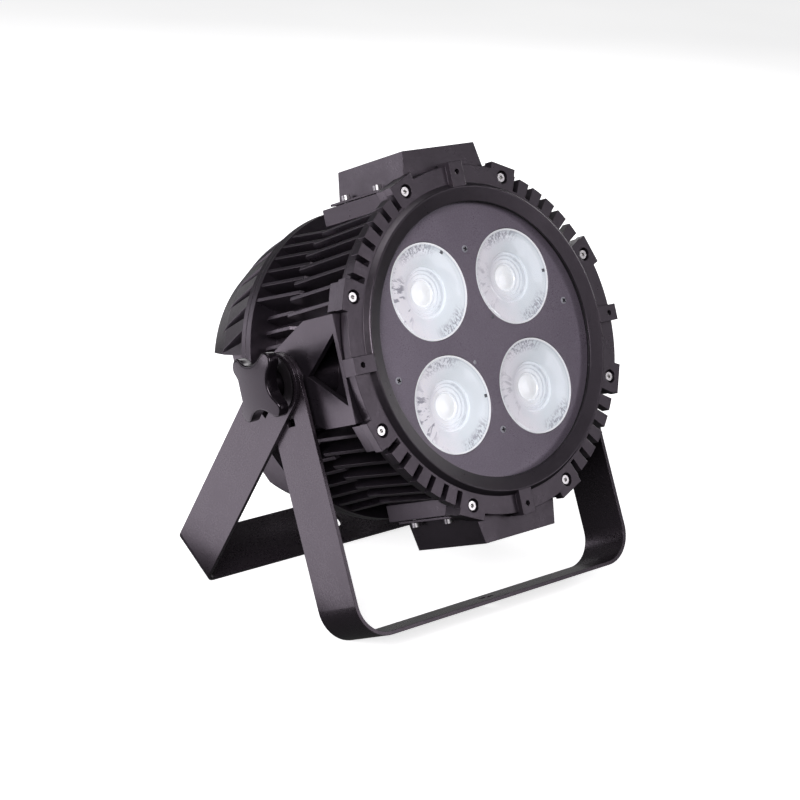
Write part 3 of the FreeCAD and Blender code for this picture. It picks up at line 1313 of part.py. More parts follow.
build_front_ring()
ring_part("ring_seal", "Dim.ring_seal_inner", "Dim.ring_seal_outer", RING_BACK, HOUSING_FRONT)
build_glass_seal()
build_front_glass()
build_lens_panel()
for _, _, corner in LENS_PLACES:
    build_lens(corner + "_lens")
    build_lens_holder(corner + "_lens_holder")
    build_led(corner + "_led")
build_panel_fixings()
build_front_housing()
ring_part("housing_seal", CORE_INNER + " + Dim.split_seal", "Dim.core_radius - Dim.split_seal",
          "Dim.split", REAR_START)
build_rear_housing()
build_main_board()
ring_part("cover_seal", "Dim.cover_seal_inner", "Dim.cover_seal_outer", "Dim.rim_rear", COVER_FRONT)
build_rear_cover()
build_back_fittings()
for side in ("top", "bottom"):
    build_box(side + "_box", side)
    build_box_seal(side + "_box_seal", side)
    build_driver(side + "_driver", side)
build_screw_sets()
build_bracket("front_bracket", "Dim.front_bracket_face", "Dim.front_bracket_length", "Dim.front_bend")
build_bracket("rear_bracket", REAR_FACE, "Dim.rear_bracket_length", "Dim.rear_bend")
for side in ("left", "right"):
    build_knob(side)
    build_clamp(side)
doc.recompute()


def stance():
    """Pivot height and rear lean at which both crossbars rest on the floor by one edge each."""
    half = num("Dim.bracket_width / 2")
    lean = math.radians(num("Dim.front_lean"))
    height = num("Dim.front_bracket_length") * math.cos(lean) + half * math.sin(lean)
    reach = math.hypot(num("Dim.rear_bracket_length"), half)
    rear = math.acos(height / reach) + math.atan2(half, num("Dim.rear_bracket_length"))
    return height, math.degrees(rear)


def frames(shift):
    """Placement of every frame, with the pivot line at a shift back from the origin."""
    height, rear_lean = stance()
    pivot = Vector(0, shift, height)
    head = Placement(pivot, Rotation(X_AXIS, -num("Dim.head_tilt"))).multiply(
        Placement(Vector(0, -num("Dim.pivot_depth"), 0), Rotation()))
    half_turn = Placement(Vector(), Rotation(Y_AXIS, PART_TURN / 2))
    tilt = Rotation(X_AXIS, -num("Dim.head_tilt"))
    table = {
        "head": head,
        "top": head,
        "bottom": head.multiply(half_turn),
        "front_bracket": Placement(pivot, Rotation(X_AXIS, -num("Dim.front_lean"))),
        "rear_bracket": Placement(pivot, Rotation(X_AXIS, rear_lean)),
        "right_clamp": Placement(pivot, tilt),
        "left_clamp": Placement(pivot, tilt.multiply(Rotation(Y_AXIS, PART_TURN / 2))),
    }
    for across, up, corner in LENS_PLACES:
        for piece in ("_lens", "_lens_holder", "_led"):
            table[corner + piece] = head.multiply(lens_spot(across, up))
    back = num(COVER_BACK)
    for index, name in enumerate(BUTTONS):
        spot = Vector(num(button_across(index)), back, num("Dim.button_height"))
        table[name] = head.multiply(Placement(spot, Rotation()))
    for index, name in enumerate(SOCKETS):
        spot = Vector(num(socket_across(index)), back, num("Dim.socket_height"))
        table[name] = head.multiply(Placement(spot, Rotation()))
    table["vent_plug"] = head.multiply(Placement(Vector(0, back, num("Dim.vent_height")), Rotation()))
    return table


def place_all(shift):
    """Puts every sub-part in its frame."""
    table = frames(shift)
    for sub_part, frame in parts:
        sub_part.Placement = table[frame]
    doc.recompute()


place_all(0)
whole = FreeCAD.BoundBox()
for sub_part, _ in parts:
    whole.add(sub_part.Shape.BoundBox)
place_all(-whole.Center.y)

for item in doc.Objects:
    if "Invalid" in item.State or "Error" in item.State:
        raise RuntimeError("failed: " + item.Name)
for sub_part, _ in parts:
    if sub_part.Shape.isNull() or not sub_part.Shape.isValid():
        raise RuntimeError("bad shape: " + sub_part.Label)
for sub_part, _ in parts:
    sub_part.Shape.exportStep("parts/%s.step" % sub_part.Label)
    print(sub_part.Label, len(sub_part.Shape.Solids), round(sub_part.Shape.Volume))
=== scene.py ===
import json
import math
import bmesh
import bpy
from mathutils import Matrix, Vector


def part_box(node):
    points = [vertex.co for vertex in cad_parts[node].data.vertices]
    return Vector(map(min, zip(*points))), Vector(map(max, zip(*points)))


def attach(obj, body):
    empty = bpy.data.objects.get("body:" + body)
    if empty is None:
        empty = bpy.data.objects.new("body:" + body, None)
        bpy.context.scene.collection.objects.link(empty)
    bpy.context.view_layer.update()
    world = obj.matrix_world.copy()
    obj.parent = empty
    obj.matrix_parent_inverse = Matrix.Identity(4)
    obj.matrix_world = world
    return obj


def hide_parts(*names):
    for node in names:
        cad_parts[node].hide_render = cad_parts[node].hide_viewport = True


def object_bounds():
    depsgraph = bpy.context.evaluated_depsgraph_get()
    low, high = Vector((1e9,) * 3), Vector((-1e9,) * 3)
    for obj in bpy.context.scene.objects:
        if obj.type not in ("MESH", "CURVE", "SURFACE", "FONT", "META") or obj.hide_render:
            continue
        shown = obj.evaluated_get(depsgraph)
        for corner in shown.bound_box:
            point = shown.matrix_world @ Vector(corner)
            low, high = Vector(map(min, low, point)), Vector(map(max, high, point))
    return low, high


# Looks of an outdoor LED wash light: finned black castings, four collimator lenses behind one
# glass, two bent brackets and two clamp knobs. The frame is in metres; sizes of shapes are given
# in mm and multiplied by MM.

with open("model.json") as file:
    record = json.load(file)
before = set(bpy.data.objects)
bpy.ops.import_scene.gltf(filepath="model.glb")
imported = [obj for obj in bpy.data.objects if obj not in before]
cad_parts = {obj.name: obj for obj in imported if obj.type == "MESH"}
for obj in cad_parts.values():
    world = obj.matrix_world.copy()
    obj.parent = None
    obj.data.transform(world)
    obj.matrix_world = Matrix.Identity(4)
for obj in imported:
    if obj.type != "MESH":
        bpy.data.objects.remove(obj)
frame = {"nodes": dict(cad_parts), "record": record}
cad_box = [list(corner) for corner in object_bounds()]
nodes = frame["nodes"]
scene = bpy.context.scene

MM = 0.001
HEAD_TILT = math.radians(23.4)
# depth from the lens panel back to the pivot line
PIVOT_DEPTH = 70.0


def pivot_line():
    """Depth and height of the line that head and brackets turn about."""
    low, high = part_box("left_stud")
    return (low[1] + high[1]) / 2, (low[2] + high[2]) / 2


PIVOT_Y, PIVOT_Z = pivot_line()
# The head's own frame: X right as seen from the front, Y back from the lens panel, Z up
HEAD = (Matrix.Translation((0, PIVOT_Y, PIVOT_Z)) @ Matrix.Rotation(-HEAD_TILT, 4, "X")
        @ Matrix.Translation((0, -PIVOT_DEPTH * MM, 0)))

# distance of each lens's axis from the head's middle, both ways
LENS_OFFSET = 43.5
LENS_RADIUS = 37.6
# side of the square that a lens's flat map covers
LENS_SPAN = 80.0


# materials

class Finish:
    """One node material, with short calls for the nodes that the finishes share."""

    def __init__(self, name, coordinates="Object"):
        self.material = bpy.data.materials.new(name)
        self.material.use_nodes = True
        self.tree = self.material.node_tree
        self.tree.nodes.clear()
        self.output = self.add("ShaderNodeOutputMaterial")
        self.shader = self.add("ShaderNodeBsdfPrincipled")
        self.join(self.shader.outputs["BSDF"], self.output.inputs["Surface"])
        self.place = self.add("ShaderNodeTexCoord").outputs[coordinates]

    def add(self, kind, **settings):
        node = self.tree.nodes.new(kind)
        for key, value in settings.items():
            setattr(node, key, value)
        return node

    def join(self, source, target):
        self.tree.links.new(source, target)

    def feed(self, target, value):
        """Links a socket to target, or sets target to a plain value."""
        if isinstance(value, bpy.types.NodeSocket):
            self.join(value, target)
        else:
            target.default_value = value

    def noise(self, scale, detail=2.0, rough=0.5, place=None, warp=0.0):
        node = self.add("ShaderNodeTexNoise")
        self.join(place or self.place, node.inputs["Vector"])
        node.inputs["Scale"].default_value = scale
        node.inputs["Detail"].default_value = detail
        node.inputs["Roughness"].default_value = rough
        node.inputs["Distortion"].default_value = warp
        return node.outputs["Fac"]

    def cells(self, scale):
        """Distance to the nearest of many scattered points."""
        node = self.add("ShaderNodeTexVoronoi")
        self.join(self.place, node.inputs["Vector"])
        node.inputs["Scale"].default_value = scale
        return node.outputs["Distance"]

    def stretched(self, factors, turn=(0, 0, 0)):
        """Coordinates for a noise that runs longer one way than another."""
        node = self.add("ShaderNodeMapping")
        self.join(self.place, node.inputs["Vector"])
        node.inputs["Scale"].default_value = factors
        node.inputs["Rotation"].default_value = turn
        return node.outputs["Vector"]

    def ramp(self, value, *stops):
        """Colour by value: each stop is (value, colour)."""
        node = self.add("ShaderNodeValToRGB")
        self.join(value, node.inputs["Fac"])
        points = node.color_ramp.elements
        while len(points) < len(stops):
            points.new(1.0)
        for point, (place, colour) in zip(points, stops):
            point.position = place
            point.color = (*colour, 1.0)
        return node.outputs["Color"]

    def span(self, value, low, high, first, last):
        """Maps low..high to first..last and holds the ends."""
        node = self.add("ShaderNodeMapRange")
        self.join(value, node.inputs["Value"])
        node.inputs["From Min"].default_value = low
        node.inputs["From Max"].default_value = high
        node.inputs["To Min"].default_value = first
        node.inputs["To Max"].default_value = last
        return node.outputs["Result"]

    def calc(self, operation, first, second=0.0, clamp=False):
        node = self.add("ShaderNodeMath", operation=operation, use_clamp=clamp)
        self.feed(node.inputs[0], first)
        self.feed(node.inputs[1], second)
        return node.outputs["Value"]

    def blend(self, share, first, second):
        """Colour between first and second; each is a colour or a socket."""
        node = self.add("ShaderNodeMix", data_type="RGBA")
        self.feed(node.inputs["Factor"], share)
        for socket, value in ((node.inputs["A"], first), (node.inputs["B"], second)):
            colour = value if isinstance(value, bpy.types.NodeSocket) else (*value, 1.0)
            self.feed(socket, colour)
        return node.outputs["Result"]

    def bump(self, height, depth, strength, below=None):
        node = self.add("ShaderNodeBump")
        self.join(height, node.inputs["Height"])
        node.inputs["Distance"].default_value = depth
        node.inputs["Strength"].default_value = strength
        if below:
            self.join(below, node.inputs["Normal"])
        return node.outputs["Normal"]

    def rounded(self, radius):
        """Normal of an edge rounded to radius, as on castings and pressed steel."""
        node = self.add("ShaderNodeBevel", samples=6)
        node.inputs["Radius"].default_value = radius
        return node.outputs["Normal"]

    def give(self, **values):
        """Sets inputs of the shader; underscores stand for spaces."""
        for key, value in values.items():
            self.feed(self.shader.inputs[key.replace("_", " ")], value)


EDGE_ROUNDING = 0.6 * MM
# how much brighter than the coat's own colour its orange peel and its dust specks are
PEEL_LIFT = 1.7
DUST_LIFT = 5.0


def paint(name, dark, light, grain, rough, depth, gloss=0.8):
    """Powder coat: soft clouding, fine orange peel, sparse lighter specks and rubbed patches."""
    f = Finish(name)
    cloud = f.noise(14.0, 3.0, 0.6)
    fine = f.noise(grain, 2.0, 0.6)
    peel = f.noise(grain * 0.32, 1.0)
    specks = f.span(f.cells(grain * 0.8), 0.08, 0.2, 1.0, 0.0)
    body = f.ramp(cloud, (0.32, dark), (0.68, light))
    toned = f.blend(f.span(fine, 0.35, 0.7, 0.0, 0.45), body, [c * PEEL_LIFT for c in light])
    dusty = f.blend(f.calc("MULTIPLY", specks, 0.16), toned,
                    [min(1.0, c * DUST_LIFT) for c in light])
    rubbed = f.noise(34.0, 4.0, 0.7)
    sheen = f.calc("ADD", f.span(rubbed, 0.3, 0.75, rough[1], rough[0]),
                   f.span(fine, 0.3, 0.7, -0.05, 0.05))
    relief = f.bump(peel, depth * 1.6, 0.5, f.rounded(EDGE_ROUNDING))
    f.give(Base_Color=dusty, Roughness=sheen, Normal=f.bump(fine, depth, 0.55, relief),
           Specular_IOR_Level=gloss, Specular_Tint=(1.0, 0.88, 1.0, 1.0))
    return f.material


def steel(name, dark, light, rough, grain=900.0):
    """Bare screw steel: turned rings and handling marks."""
    f = Finish(name)
    fine = f.noise(grain, 3.0, 0.6, f.stretched((1.0, 0.25, 1.0)))
    stain = f.noise(160.0, 3.0, 0.7)
    f.give(Base_Color=f.ramp(stain, (0.3, dark), (0.7, light)), Metallic=1.0,
           Roughness=f.span(fine, 0.3, 0.7, rough[0], rough[1]),
           Normal=f.bump(fine, 0.02 * MM, 0.4))
    return f.material


NEUTRAL = (0.5, (1.0, 1.0, 1.0))


def plastic(name, dark, light, rough, grain=800.0, depth=0.02 * MM, coat=0.0, mirror=NEUTRAL):
    """Moulded plastic: spark-eroded grain, soft clouding, a little handling shine.

    mirror is the level and the tint of its reflections."""
    f = Finish(name)
    fine = f.noise(grain, 2.0, 0.6)
    worn = f.noise(60.0, 4.0, 0.65)
    level, tint = mirror
    f.give(Base_Color=f.ramp(worn, (0.3, dark), (0.72, light)),
           Roughness=f.span(worn, 0.3, 0.7, rough[0], rough[1]),
           Normal=f.bump(fine, depth, 0.5),
           Coat_Weight=coat, Coat_Roughness=0.12,
           Specular_IOR_Level=level, Specular_Tint=(*tint, 1.0))
    return f.material


def rubber(name, dark, light):
    """Black sealing rubber with a chalky bloom."""
    f = Finish(name)
    bloom = f.noise(90.0, 4.0, 0.7)
    fine = f.noise(1500.0, 2.0)
    f.give(Base_Color=f.ramp(bloom, (0.35, dark), (0.75, light)),
           Roughness=f.span(bloom, 0.3, 0.7, 0.6, 0.82), Normal=f.bump(fine, 0.02 * MM, 0.5))
    return f.material


def pane():
    """Clear cover glass: see-through, with the glare of its outer face, smears and dust."""
    f = Finish("clear_glass")
    clear = f.add("ShaderNodeBsdfTransparent")
    clear.inputs["Color"].default_value = (0.965, 0.975, 0.98, 1.0)
    smear = f.noise(22.0, 4.0, 0.6, f.stretched((1.0, 1.0, 0.35), (0, 0.5, 0)))
    dust = f.noise(1200.0, 2.0, 0.7)
    f.give(Base_Color=f.ramp(dust, (0.4, (0.02, 0.02, 0.022)), (0.8, (0.07, 0.07, 0.075))),
           Roughness=f.span(smear, 0.35, 0.7, 0.16, 0.26), Specular_IOR_Level=0.5)
    edge = f.add("ShaderNodeFresnel")
    edge.inputs["IOR"].default_value = 1.5
    # only the outer face mirrors: from within, the node takes every slant ray for a trapped one
    geometry = f.add("ShaderNodeNewGeometry")
    outer = f.calc("SUBTRACT", 1.0, geometry.outputs["Backfacing"])
    mirror = f.calc("MULTIPLY", edge.outputs["Fac"], outer)
    share = f.calc("MULTIPLY", mirror, f.span(smear, 0.3, 0.7, 1.05, 1.4), True)
    mixed = f.add("ShaderNodeMixShader")
    f.join(share, mixed.inputs["Fac"])
    f.join(clear.outputs["BSDF"], mixed.inputs[1])
    f.join(f.shader.outputs["BSDF"], mixed.inputs[2])
    f.join(mixed.outputs["Shader"], f.output.inputs["Surface"])
    return f.material


def lens_finish():
    """Moulded optic seen from the front: milky rings, a bright eye and a faint glow that are
    painted light, dashes near the rim.

    One material serves all four lenses: the flat map says where a point lies on its lens, and
    the object's coordinates say which lens it is."""
    f = Finish("lens_glass", "UV")
    apart = f.add("ShaderNodeSeparateXYZ")
    f.join(f.place, apart.inputs["Vector"])
    across = f.calc("SUBTRACT", apart.outputs["X"], 0.5)
    up = f.calc("SUBTRACT", apart.outputs["Y"], 0.5)
    squares = f.calc("ADD", f.calc("MULTIPLY", across, across), f.calc("MULTIPLY", up, up))
    radius = f.calc("MAXIMUM", f.calc("SQRT", squares), 0.001)
    cosine = f.calc("DIVIDE", across, radius)
    sine = f.calc("DIVIDE", up, radius)
    # share of the lens's radius: 1 at its rim
    reach = f.calc("DIVIDE", radius, LENS_RADIUS / LENS_SPAN)

    def both(first, second):
        return f.calc("MULTIPLY", first, second, True)

    def either(first, second):
        return f.calc("MAXIMUM", first, second)

    def faded(mask, share):
        return f.calc("MULTIPLY", mask, share)

    def toward(degrees, start, full):
        """Mask of the side of the lens that lies in this direction."""
        turn = math.radians(degrees)
        along = f.calc("ADD", f.calc("MULTIPLY", cosine, math.cos(turn)),
                       f.calc("MULTIPLY", sine, math.sin(turn)))
        return f.span(along, start, full, 0.0, 1.0)

    def band(outside, inside, end, gone):
        """Mask of a ring: it rises from outside to inside and falls from end to gone."""
        return both(f.span(reach, outside, inside, 0.0, 1.0), f.span(reach, end, gone, 1.0, 0.0))

    solid = f.add("ShaderNodeSeparateXYZ")
    f.join(f.add("ShaderNodeTexCoord").outputs["Object"], solid.inputs["Vector"])
    level = f.calc("SIGN", f.calc("SUBTRACT", solid.outputs["Z"], HEAD.translation.z))
    number = f.calc("ADD", f.calc("SIGN", solid.outputs["X"]), f.calc("MULTIPLY", level, 2.0))

    def by_side(left, right):
        """One value for the left lenses, another for the right ones."""
        return f.span(solid.outputs["X"], -0.01, 0.01, left, right)

    def rays(count, rate, spin=0.0):
        """Coordinates whose noise makes dashes that point to the eye, another set on each lens."""
        ray = f.add("ShaderNodeCombineXYZ")
        f.join(f.calc("MULTIPLY", cosine, count), ray.inputs["X"])
        f.join(f.calc("ADD", f.calc("MULTIPLY", sine, count), f.calc("MULTIPLY", reach, spin)),
               ray.inputs["Y"])
        f.join(f.calc("ADD", f.calc("MULTIPLY", reach, rate), f.calc("MULTIPLY", number, 7.3)),
               ray.inputs["Z"])
        return ray.outputs["Vector"]

    # dark dashes near the rim: clear ones above and lower right, faint ones and streaks at left
    fine = f.noise(1.0, 3.0, 0.65, rays(20.0, 9.0, 12.0), 0.25)
    coarse = f.noise(1.0, 3.0, 0.6, rays(7.0, 3.0), 0.4)
    dash_sides = either(toward(97, 0.80, 0.97), toward(-58, 0.84, 0.97))
    specks = both(both(band(0.72, 0.84, 0.955, 0.975), dash_sides),
                  f.span(fine, 0.46, 0.55, 0.0, 1.0))
    stray = both(both(band(0.86, 0.90, 0.955, 0.975), f.span(fine, 0.57, 0.64, 0.0, 1.0)),
                 toward(160, -0.4, 0.5))
    streaks = both(both(toward(186, 0.72, 0.93), band(0.52, 0.62, 0.93, 0.97)),
                   f.span(coarse, 0.53, 0.61, 0.0, 1.0))
    dashes = either(faded(specks, 0.8),
                    either(faded(stray, 0.4), f.calc("MULTIPLY", streaks, by_side(0.9, 0.4))))

    # painted shade: grey arcs of the steps beside the eye, strongest on its right, with two short
    # hooks
    lines = either(band(0.285, 0.30, 0.305, 0.325), band(0.375, 0.385, 0.39, 0.405))
    broad = band(0.43, 0.455, 0.485, 0.505)
    arcs = both(toward(-4, 0.05, 0.75), either(faded(lines, 0.5), faded(broad, 0.42)))
    halo = faded(either(lines, broad), 0.10)
    bent = either(toward(48, 0.93, 0.985), toward(-40, 0.95, 0.99))
    hooks = both(both(bent, band(0.425, 0.45, 0.48, 0.50)), f.span(coarse, 0.40, 0.52, 0.2, 1.0))
    shade = either(either(arcs, halo), faded(hooks, 0.55))

    # milky body, warmer at its left, then the marks in turn and the bright rim
    mist = f.noise(6.0, 3.0, 0.5)
    drift = f.calc("MULTIPLY", f.calc("SUBTRACT", mist, 0.5), 0.5)
    side = f.span(f.calc("ADD", across, drift), -0.26, 0.12, 0.0, 1.0)
    milk = f.blend(side, (0.93, 0.885, 0.935), (0.785, 0.815, 0.85))
    # painted light: the colour turns near white toward the eye, where the optic gathers light
    milk_with_painted_eye = f.blend(f.span(reach, 0.22, 0.42, 0.8, 0.0), milk, (0.95, 0.945, 0.955))
    shaded = f.blend(shade, milk_with_painted_eye, (0.36, 0.38, 0.42))
    marked = f.blend(faded(dashes, 0.95), shaded, (0.29, 0.275, 0.33))
    inner_line = both(band(0.93, 0.94, 0.947, 0.957), toward(10, -0.3, 0.5))
    rimmed = f.blend(faded(inner_line, 0.35), marked, (0.40, 0.42, 0.48))
    colour = f.blend(f.span(reach, 0.957, 0.965, 0.0, 1.0), rimmed, (0.95, 0.94, 0.96))

    # painted light: the optic glows though it is no lamp, faintly in its own colour and brightly
    # at the eye's core
    painted_eye_glow = f.calc("MULTIPLY", f.span(reach, 0.21, 0.30, 1.0, 0.0), by_side(0.95, 0.45))
    painted_glow = f.blend(by_side(0.14, 0.38), colour, (0.0, 0.0, 0.0))
    f.give(Base_Color=colour, Roughness=f.span(mist, 0.3, 0.7, 0.10, 0.2),
           Normal=f.bump(f.noise(60.0, 2.0), 0.06 * MM, 0.35),
           Specular_IOR_Level=0.5, Coat_Weight=0.5, Coat_Roughness=0.04,
           Subsurface_Weight=0.25, Subsurface_Radius=(0.006, 0.0065, 0.007), Subsurface_Scale=1.0,
           Emission_Color=f.blend(painted_eye_glow, painted_glow, (0.98, 0.97, 0.97)), Emission_Strength=0.42)
    return f.material


# one finish for each material slot of the record: darkest and lightest colour, roughness range
finishes = {
    "housing_paint": paint("housing_paint", (0.0060, 0.0049, 0.0066), (0.0100, 0.0082, 0.0108),
                           700.0, (0.28, 0.39), 0.08 * MM),
    "bracket_paint": paint("bracket_paint", (0.008, 0.0062, 0.008), (0.0125, 0.0098, 0.0125),
                           720.0, (0.25, 0.33), 0.02 * MM, 0.68),
    "panel_paint": paint("panel_paint", (0.105, 0.083, 0.107), (0.138, 0.113, 0.140),
                         1100.0, (0.28, 0.36), 0.02 * MM),
    "clear_glass": pane(),
    "lens_glass": lens_finish(),
    "stainless_screw": steel("stainless_screw", (0.72, 0.71, 0.70), (0.86, 0.85, 0.84),
                             (0.22, 0.36)),
    "zinc_screw": steel("zinc_screw", (0.30, 0.29, 0.30), (0.52, 0.51, 0.52), (0.3, 0.5)),
    "bare_metal": steel("bare_metal", (0.42, 0.42, 0.43), (0.6, 0.6, 0.61), (0.3, 0.45)),
    "driver_case": steel("driver_case", (0.36, 0.37, 0.38), (0.52, 0.52, 0.53), (0.35, 0.55),
                         300.0),
    "holder_plastic": plastic("holder_plastic", (0.010, 0.010, 0.011), (0.020, 0.020, 0.021),
                              (0.42, 0.6)),
    "black_plastic": plastic("black_plastic", (0.012, 0.012, 0.0125), (0.024, 0.023, 0.024),
                             (0.38, 0.55)),
    "socket_plastic": plastic("socket_plastic", (0.010, 0.010, 0.0105), (0.021, 0.021, 0.022),
                              (0.34, 0.5)),
    "knob_plastic": plastic("knob_plastic", (0.0040, 0.0031, 0.0042), (0.0065, 0.0050, 0.0068),
                            (0.18, 0.25), 420.0, 0.008 * MM, 0.1, (0.29, (1.0, 0.86, 1.0))),
    "black_rubber": rubber("black_rubber", (0.008, 0.008, 0.0085), (0.018, 0.018, 0.019)),
    "button_rubber": rubber("button_rubber", (0.030, 0.030, 0.032), (0.055, 0.055, 0.058)),
    "display_pane": plastic("display_pane", (0.004, 0.005, 0.006), (0.009, 0.010, 0.012),
                            (0.06, 0.12), 900.0, 0.006 * MM, 0.8),
    "led_emitter": plastic("led_emitter", (0.72, 0.62, 0.30), (0.84, 0.76, 0.42), (0.4, 0.6)),
    "circuit_board": plastic("circuit_board", (0.012, 0.07, 0.03), (0.02, 0.11, 0.05),
                             (0.3, 0.45)),
}

# looks that a piece may have beside its slot
# dark washers; the same look also serves as painted shade in the knob discs and the screws' cross
# recesses
dark_washer_and_painted_shade = plastic("dark_washer_and_painted_shade", (0.006, 0.005, 0.006), (0.010, 0.009, 0.010),
                      (0.32, 0.42), 500.0, 0.01 * MM, 0.0, (0.4, (1.0, 0.9, 1.0)))
bright_screw = plastic("bright_screw", (0.34, 0.33, 0.36), (0.50, 0.48, 0.52), (0.3, 0.45),
                       1500.0)
mark_print = plastic("mark_print", (0.42, 0.42, 0.43), (0.55, 0.55, 0.56), (0.4, 0.55))
dim_segment = plastic("dim_segment", (0.030, 0.012, 0.010), (0.045, 0.018, 0.014), (0.2, 0.3))
gate_mark = plastic("gate_mark", (0.10, 0.10, 0.115), (0.16, 0.16, 0.175), (0.4, 0.55))

for sub_part in frame["record"]["subparts"]:
    materials = nodes[sub_part["node"]].data.materials
    materials.clear()
    materials.append(finishes[sub_part["material_slot"]])
for side in ("left", "right"):
    nodes[side + "_washer"].data.materials[0] = dark_washer_and_painted_shade
nodes["box_screws"].data.materials[0] = finishes["zinc_screw"]


# mesh helpers

def settle(name, mesh, finish, body="head", edge=32.0, look=None):
    """Links a finished bmesh as one piece that rides on body; edges over edge degrees stay sharp.

    finish names the finish whose material it wears; look is its material where that differs from
    the finish's."""
    data = bpy.data.meshes.new(name)
    mesh.normal_update()
    mesh.to_mesh(data)
    mesh.free()
    data.shade_smooth()
    data.set_sharp_from_angle(angle=math.radians(edge))
    piece = bpy.data.objects.new(name, data)
    scene.collection.objects.link(piece)
    data.materials.append(look or finishes[finish])
    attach(piece, body)
    return piece


def at(x, y, z):
    """Place in the head's frame, in mm."""
    return HEAD @ Matrix.Translation((x * MM, y * MM, z * MM))


def lathe(mesh, profile, place, segments):
    """Turned shape about the Y axis through place: profile points are (radius, depth) in mm."""
    flat = mesh.loops.layers.uv.verify()
    map_side = LENS_SPAN * MM
    rings = []
    for radius, depth in profile:
        if radius == 0:
            rings.append([mesh.verts.new((0, depth * MM, 0))])
            continue
        ring = []
        for step in range(segments):
            angle = 2 * math.pi * step / segments
            ring.append(mesh.verts.new((radius * MM * math.cos(angle), depth * MM,
                                        radius * MM * math.sin(angle))))
        rings.append(ring)
    for first, second in zip(rings, rings[1:]):
        for step in range(segments):
            after = (step + 1) % segments
            corners = (first[step % len(first)], first[after % len(first)],
                       second[after % len(second)], second[step % len(second)])
            face = mesh.faces.new(list(dict.fromkeys(corners)))
            for loop in face.loops:
                point = loop.vert.co
                loop[flat].uv = (0.5 + point.x / map_side, 0.5 + point.z / map_side)
    bmesh.ops.transform(mesh, matrix=place, verts=[vert for ring in rings for vert in ring])


def prism(mesh, outline, low, high, place):
    """Solid between two depths over an outline in the (x, z) plane, all in mm."""
    front = [mesh.verts.new((x * MM, low * MM, z * MM)) for x, z in outline]
    back = [mesh.verts.new((x * MM, high * MM, z * MM)) for x, z in outline]
    mesh.faces.new(front)
    mesh.faces.new(list(reversed(back)))
    for step in range(len(outline)):
        after = (step + 1) % len(outline)
        mesh.faces.new((front[after], front[step], back[step], back[after]))
    bmesh.ops.transform(mesh, matrix=place, verts=front + back)


def rectangle(left, low, right, high):
    """Outline for a prism."""
    return [(left, low), (right, low), (right, high), (left, high)]


# lenses, from the axis outwards and round the back

LENS_EYE = [(0, 9.0), (2.5, 9.05), (5, 9.3), (7.5, 9.8), (9.2, 10.4), (9.6, 10.4)]
LENS_STEPS = [(10.4, 9.7), (11.2, 9.6), (11.6, 8.8), (14.4, 8.5), (14.9, 7.6), (17.0, 7.4),
              (17.5, 6.5), (19.6, 6.3), (20.1, 4.9)]
LENS_DISH = [(21.5, 4.4), (24, 3.7), (28, 2.75), (32, 1.9), (35.4, 1.25)]
LENS_RIM = [(36.2, 0.7), (36.8, 0.4), (37.4, 0.4), (LENS_RADIUS, 0.7), (LENS_RADIUS, 2.6)]
LENS_CONE = [(36.2, 3.6), (26.5, 15.6), (16, 28), (12, 28), (12, 20), (6, 17.8), (0, 17)]
LENS = LENS_EYE + LENS_STEPS + LENS_DISH + LENS_RIM + LENS_CONE

for side, x in (("left", -LENS_OFFSET), ("right", LENS_OFFSET)):
    for level, z in (("upper", LENS_OFFSET), ("lower", -LENS_OFFSET)):
        shape = bmesh.new()
        lathe(shape, LENS, at(x, 0, z), 96)
        lens = settle("%s_%s_optic" % (level, side), shape, "lens_glass", edge=28)
        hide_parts("%s_%s_lens" % (level, side))

# gate marks of three lenses: sign of the lens's x and z, and the mark's direction in degrees
GATES = ((1, 1, 0), (-1, -1, 2), (-1, 1, 53))
GATE_REACH = 34.6

shape = bmesh.new()
for across, up, degrees in GATES:
    gate = (at(across * LENS_OFFSET, 0, up * LENS_OFFSET)
            @ Matrix.Rotation(math.radians(-degrees), 4, "Y")
            @ Matrix.Translation((GATE_REACH * MM, 0, 0)))
    prism(shape, rectangle(-1.15, -1.25, 1.15, 1.25), 1.0, 1.9, gate)
settle("lens_gates", shape, "holder_plastic", look=gate_mark)


# clamp knobs: four crowned lobes with deep smooth valleys, on a hub

LOBE_CENTRE = 24.9
LOBE_RADIUS = 6.6
VALLEY_FLOOR = 16.8
KNOB_EDGE = 1.5
KNOB_BACK_EDGE = 0.9
# the back's outline is this much smaller than the face's
KNOB_DRAFT = 0.25
# the face falls by KNOB_CROWN from its middle to CROWN_REACH
KNOB_CROWN = 3.4
CROWN_REACH = 33.0
KNOB_THICK = 11.5
KNOB_SIDES = 144
HUB_RADIUS = 12.0
HUB_LENGTH = 9.5
HUB_EDGE = 0.8
STUD_RADIUS = 4.1
BORE_END = 6.2
FACE_SHARES = (0.1, 0.2, 0.32, 0.45, 0.58, 0.7, 0.8, 0.88, 0.95, 1.0)


def lobed(theta, inset):
    """Distance from the axis to an outline of four lobes and four valleys, set in by inset."""
    half = LOBE_CENTRE / math.sqrt(2)
    step = VALLEY_FLOOR - LOBE_RADIUS
    centre = (2 * half ** 2 - step ** 2) / (2 * (half - step))
    lobe = LOBE_RADIUS - inset
    valley = centre - VALLEY_FLOOR + inset
    share = valley / (valley + lobe)
    meet = math.atan2(half * share, centre + (half - centre) * share)
    quarter = math.pi / 2
    off_valley = abs((theta + quarter / 2) % quarter - quarter / 2)
    if off_valley < meet:
        rise = centre * math.sin(off_valley)
        return centre * math.cos(off_valley) - math.sqrt(valley ** 2 - rise ** 2)
    off_lobe = quarter / 2 - off_valley
    rise = LOBE_CENTRE * math.sin(off_lobe)
    return LOBE_CENTRE * math.cos(off_lobe) + math.sqrt(lobe ** 2 - rise ** 2)


def crown(reach):
    """How far the knob's face has fallen at this distance from its axis."""
    return KNOB_CROWN * (reach / CROWN_REACH) ** 2


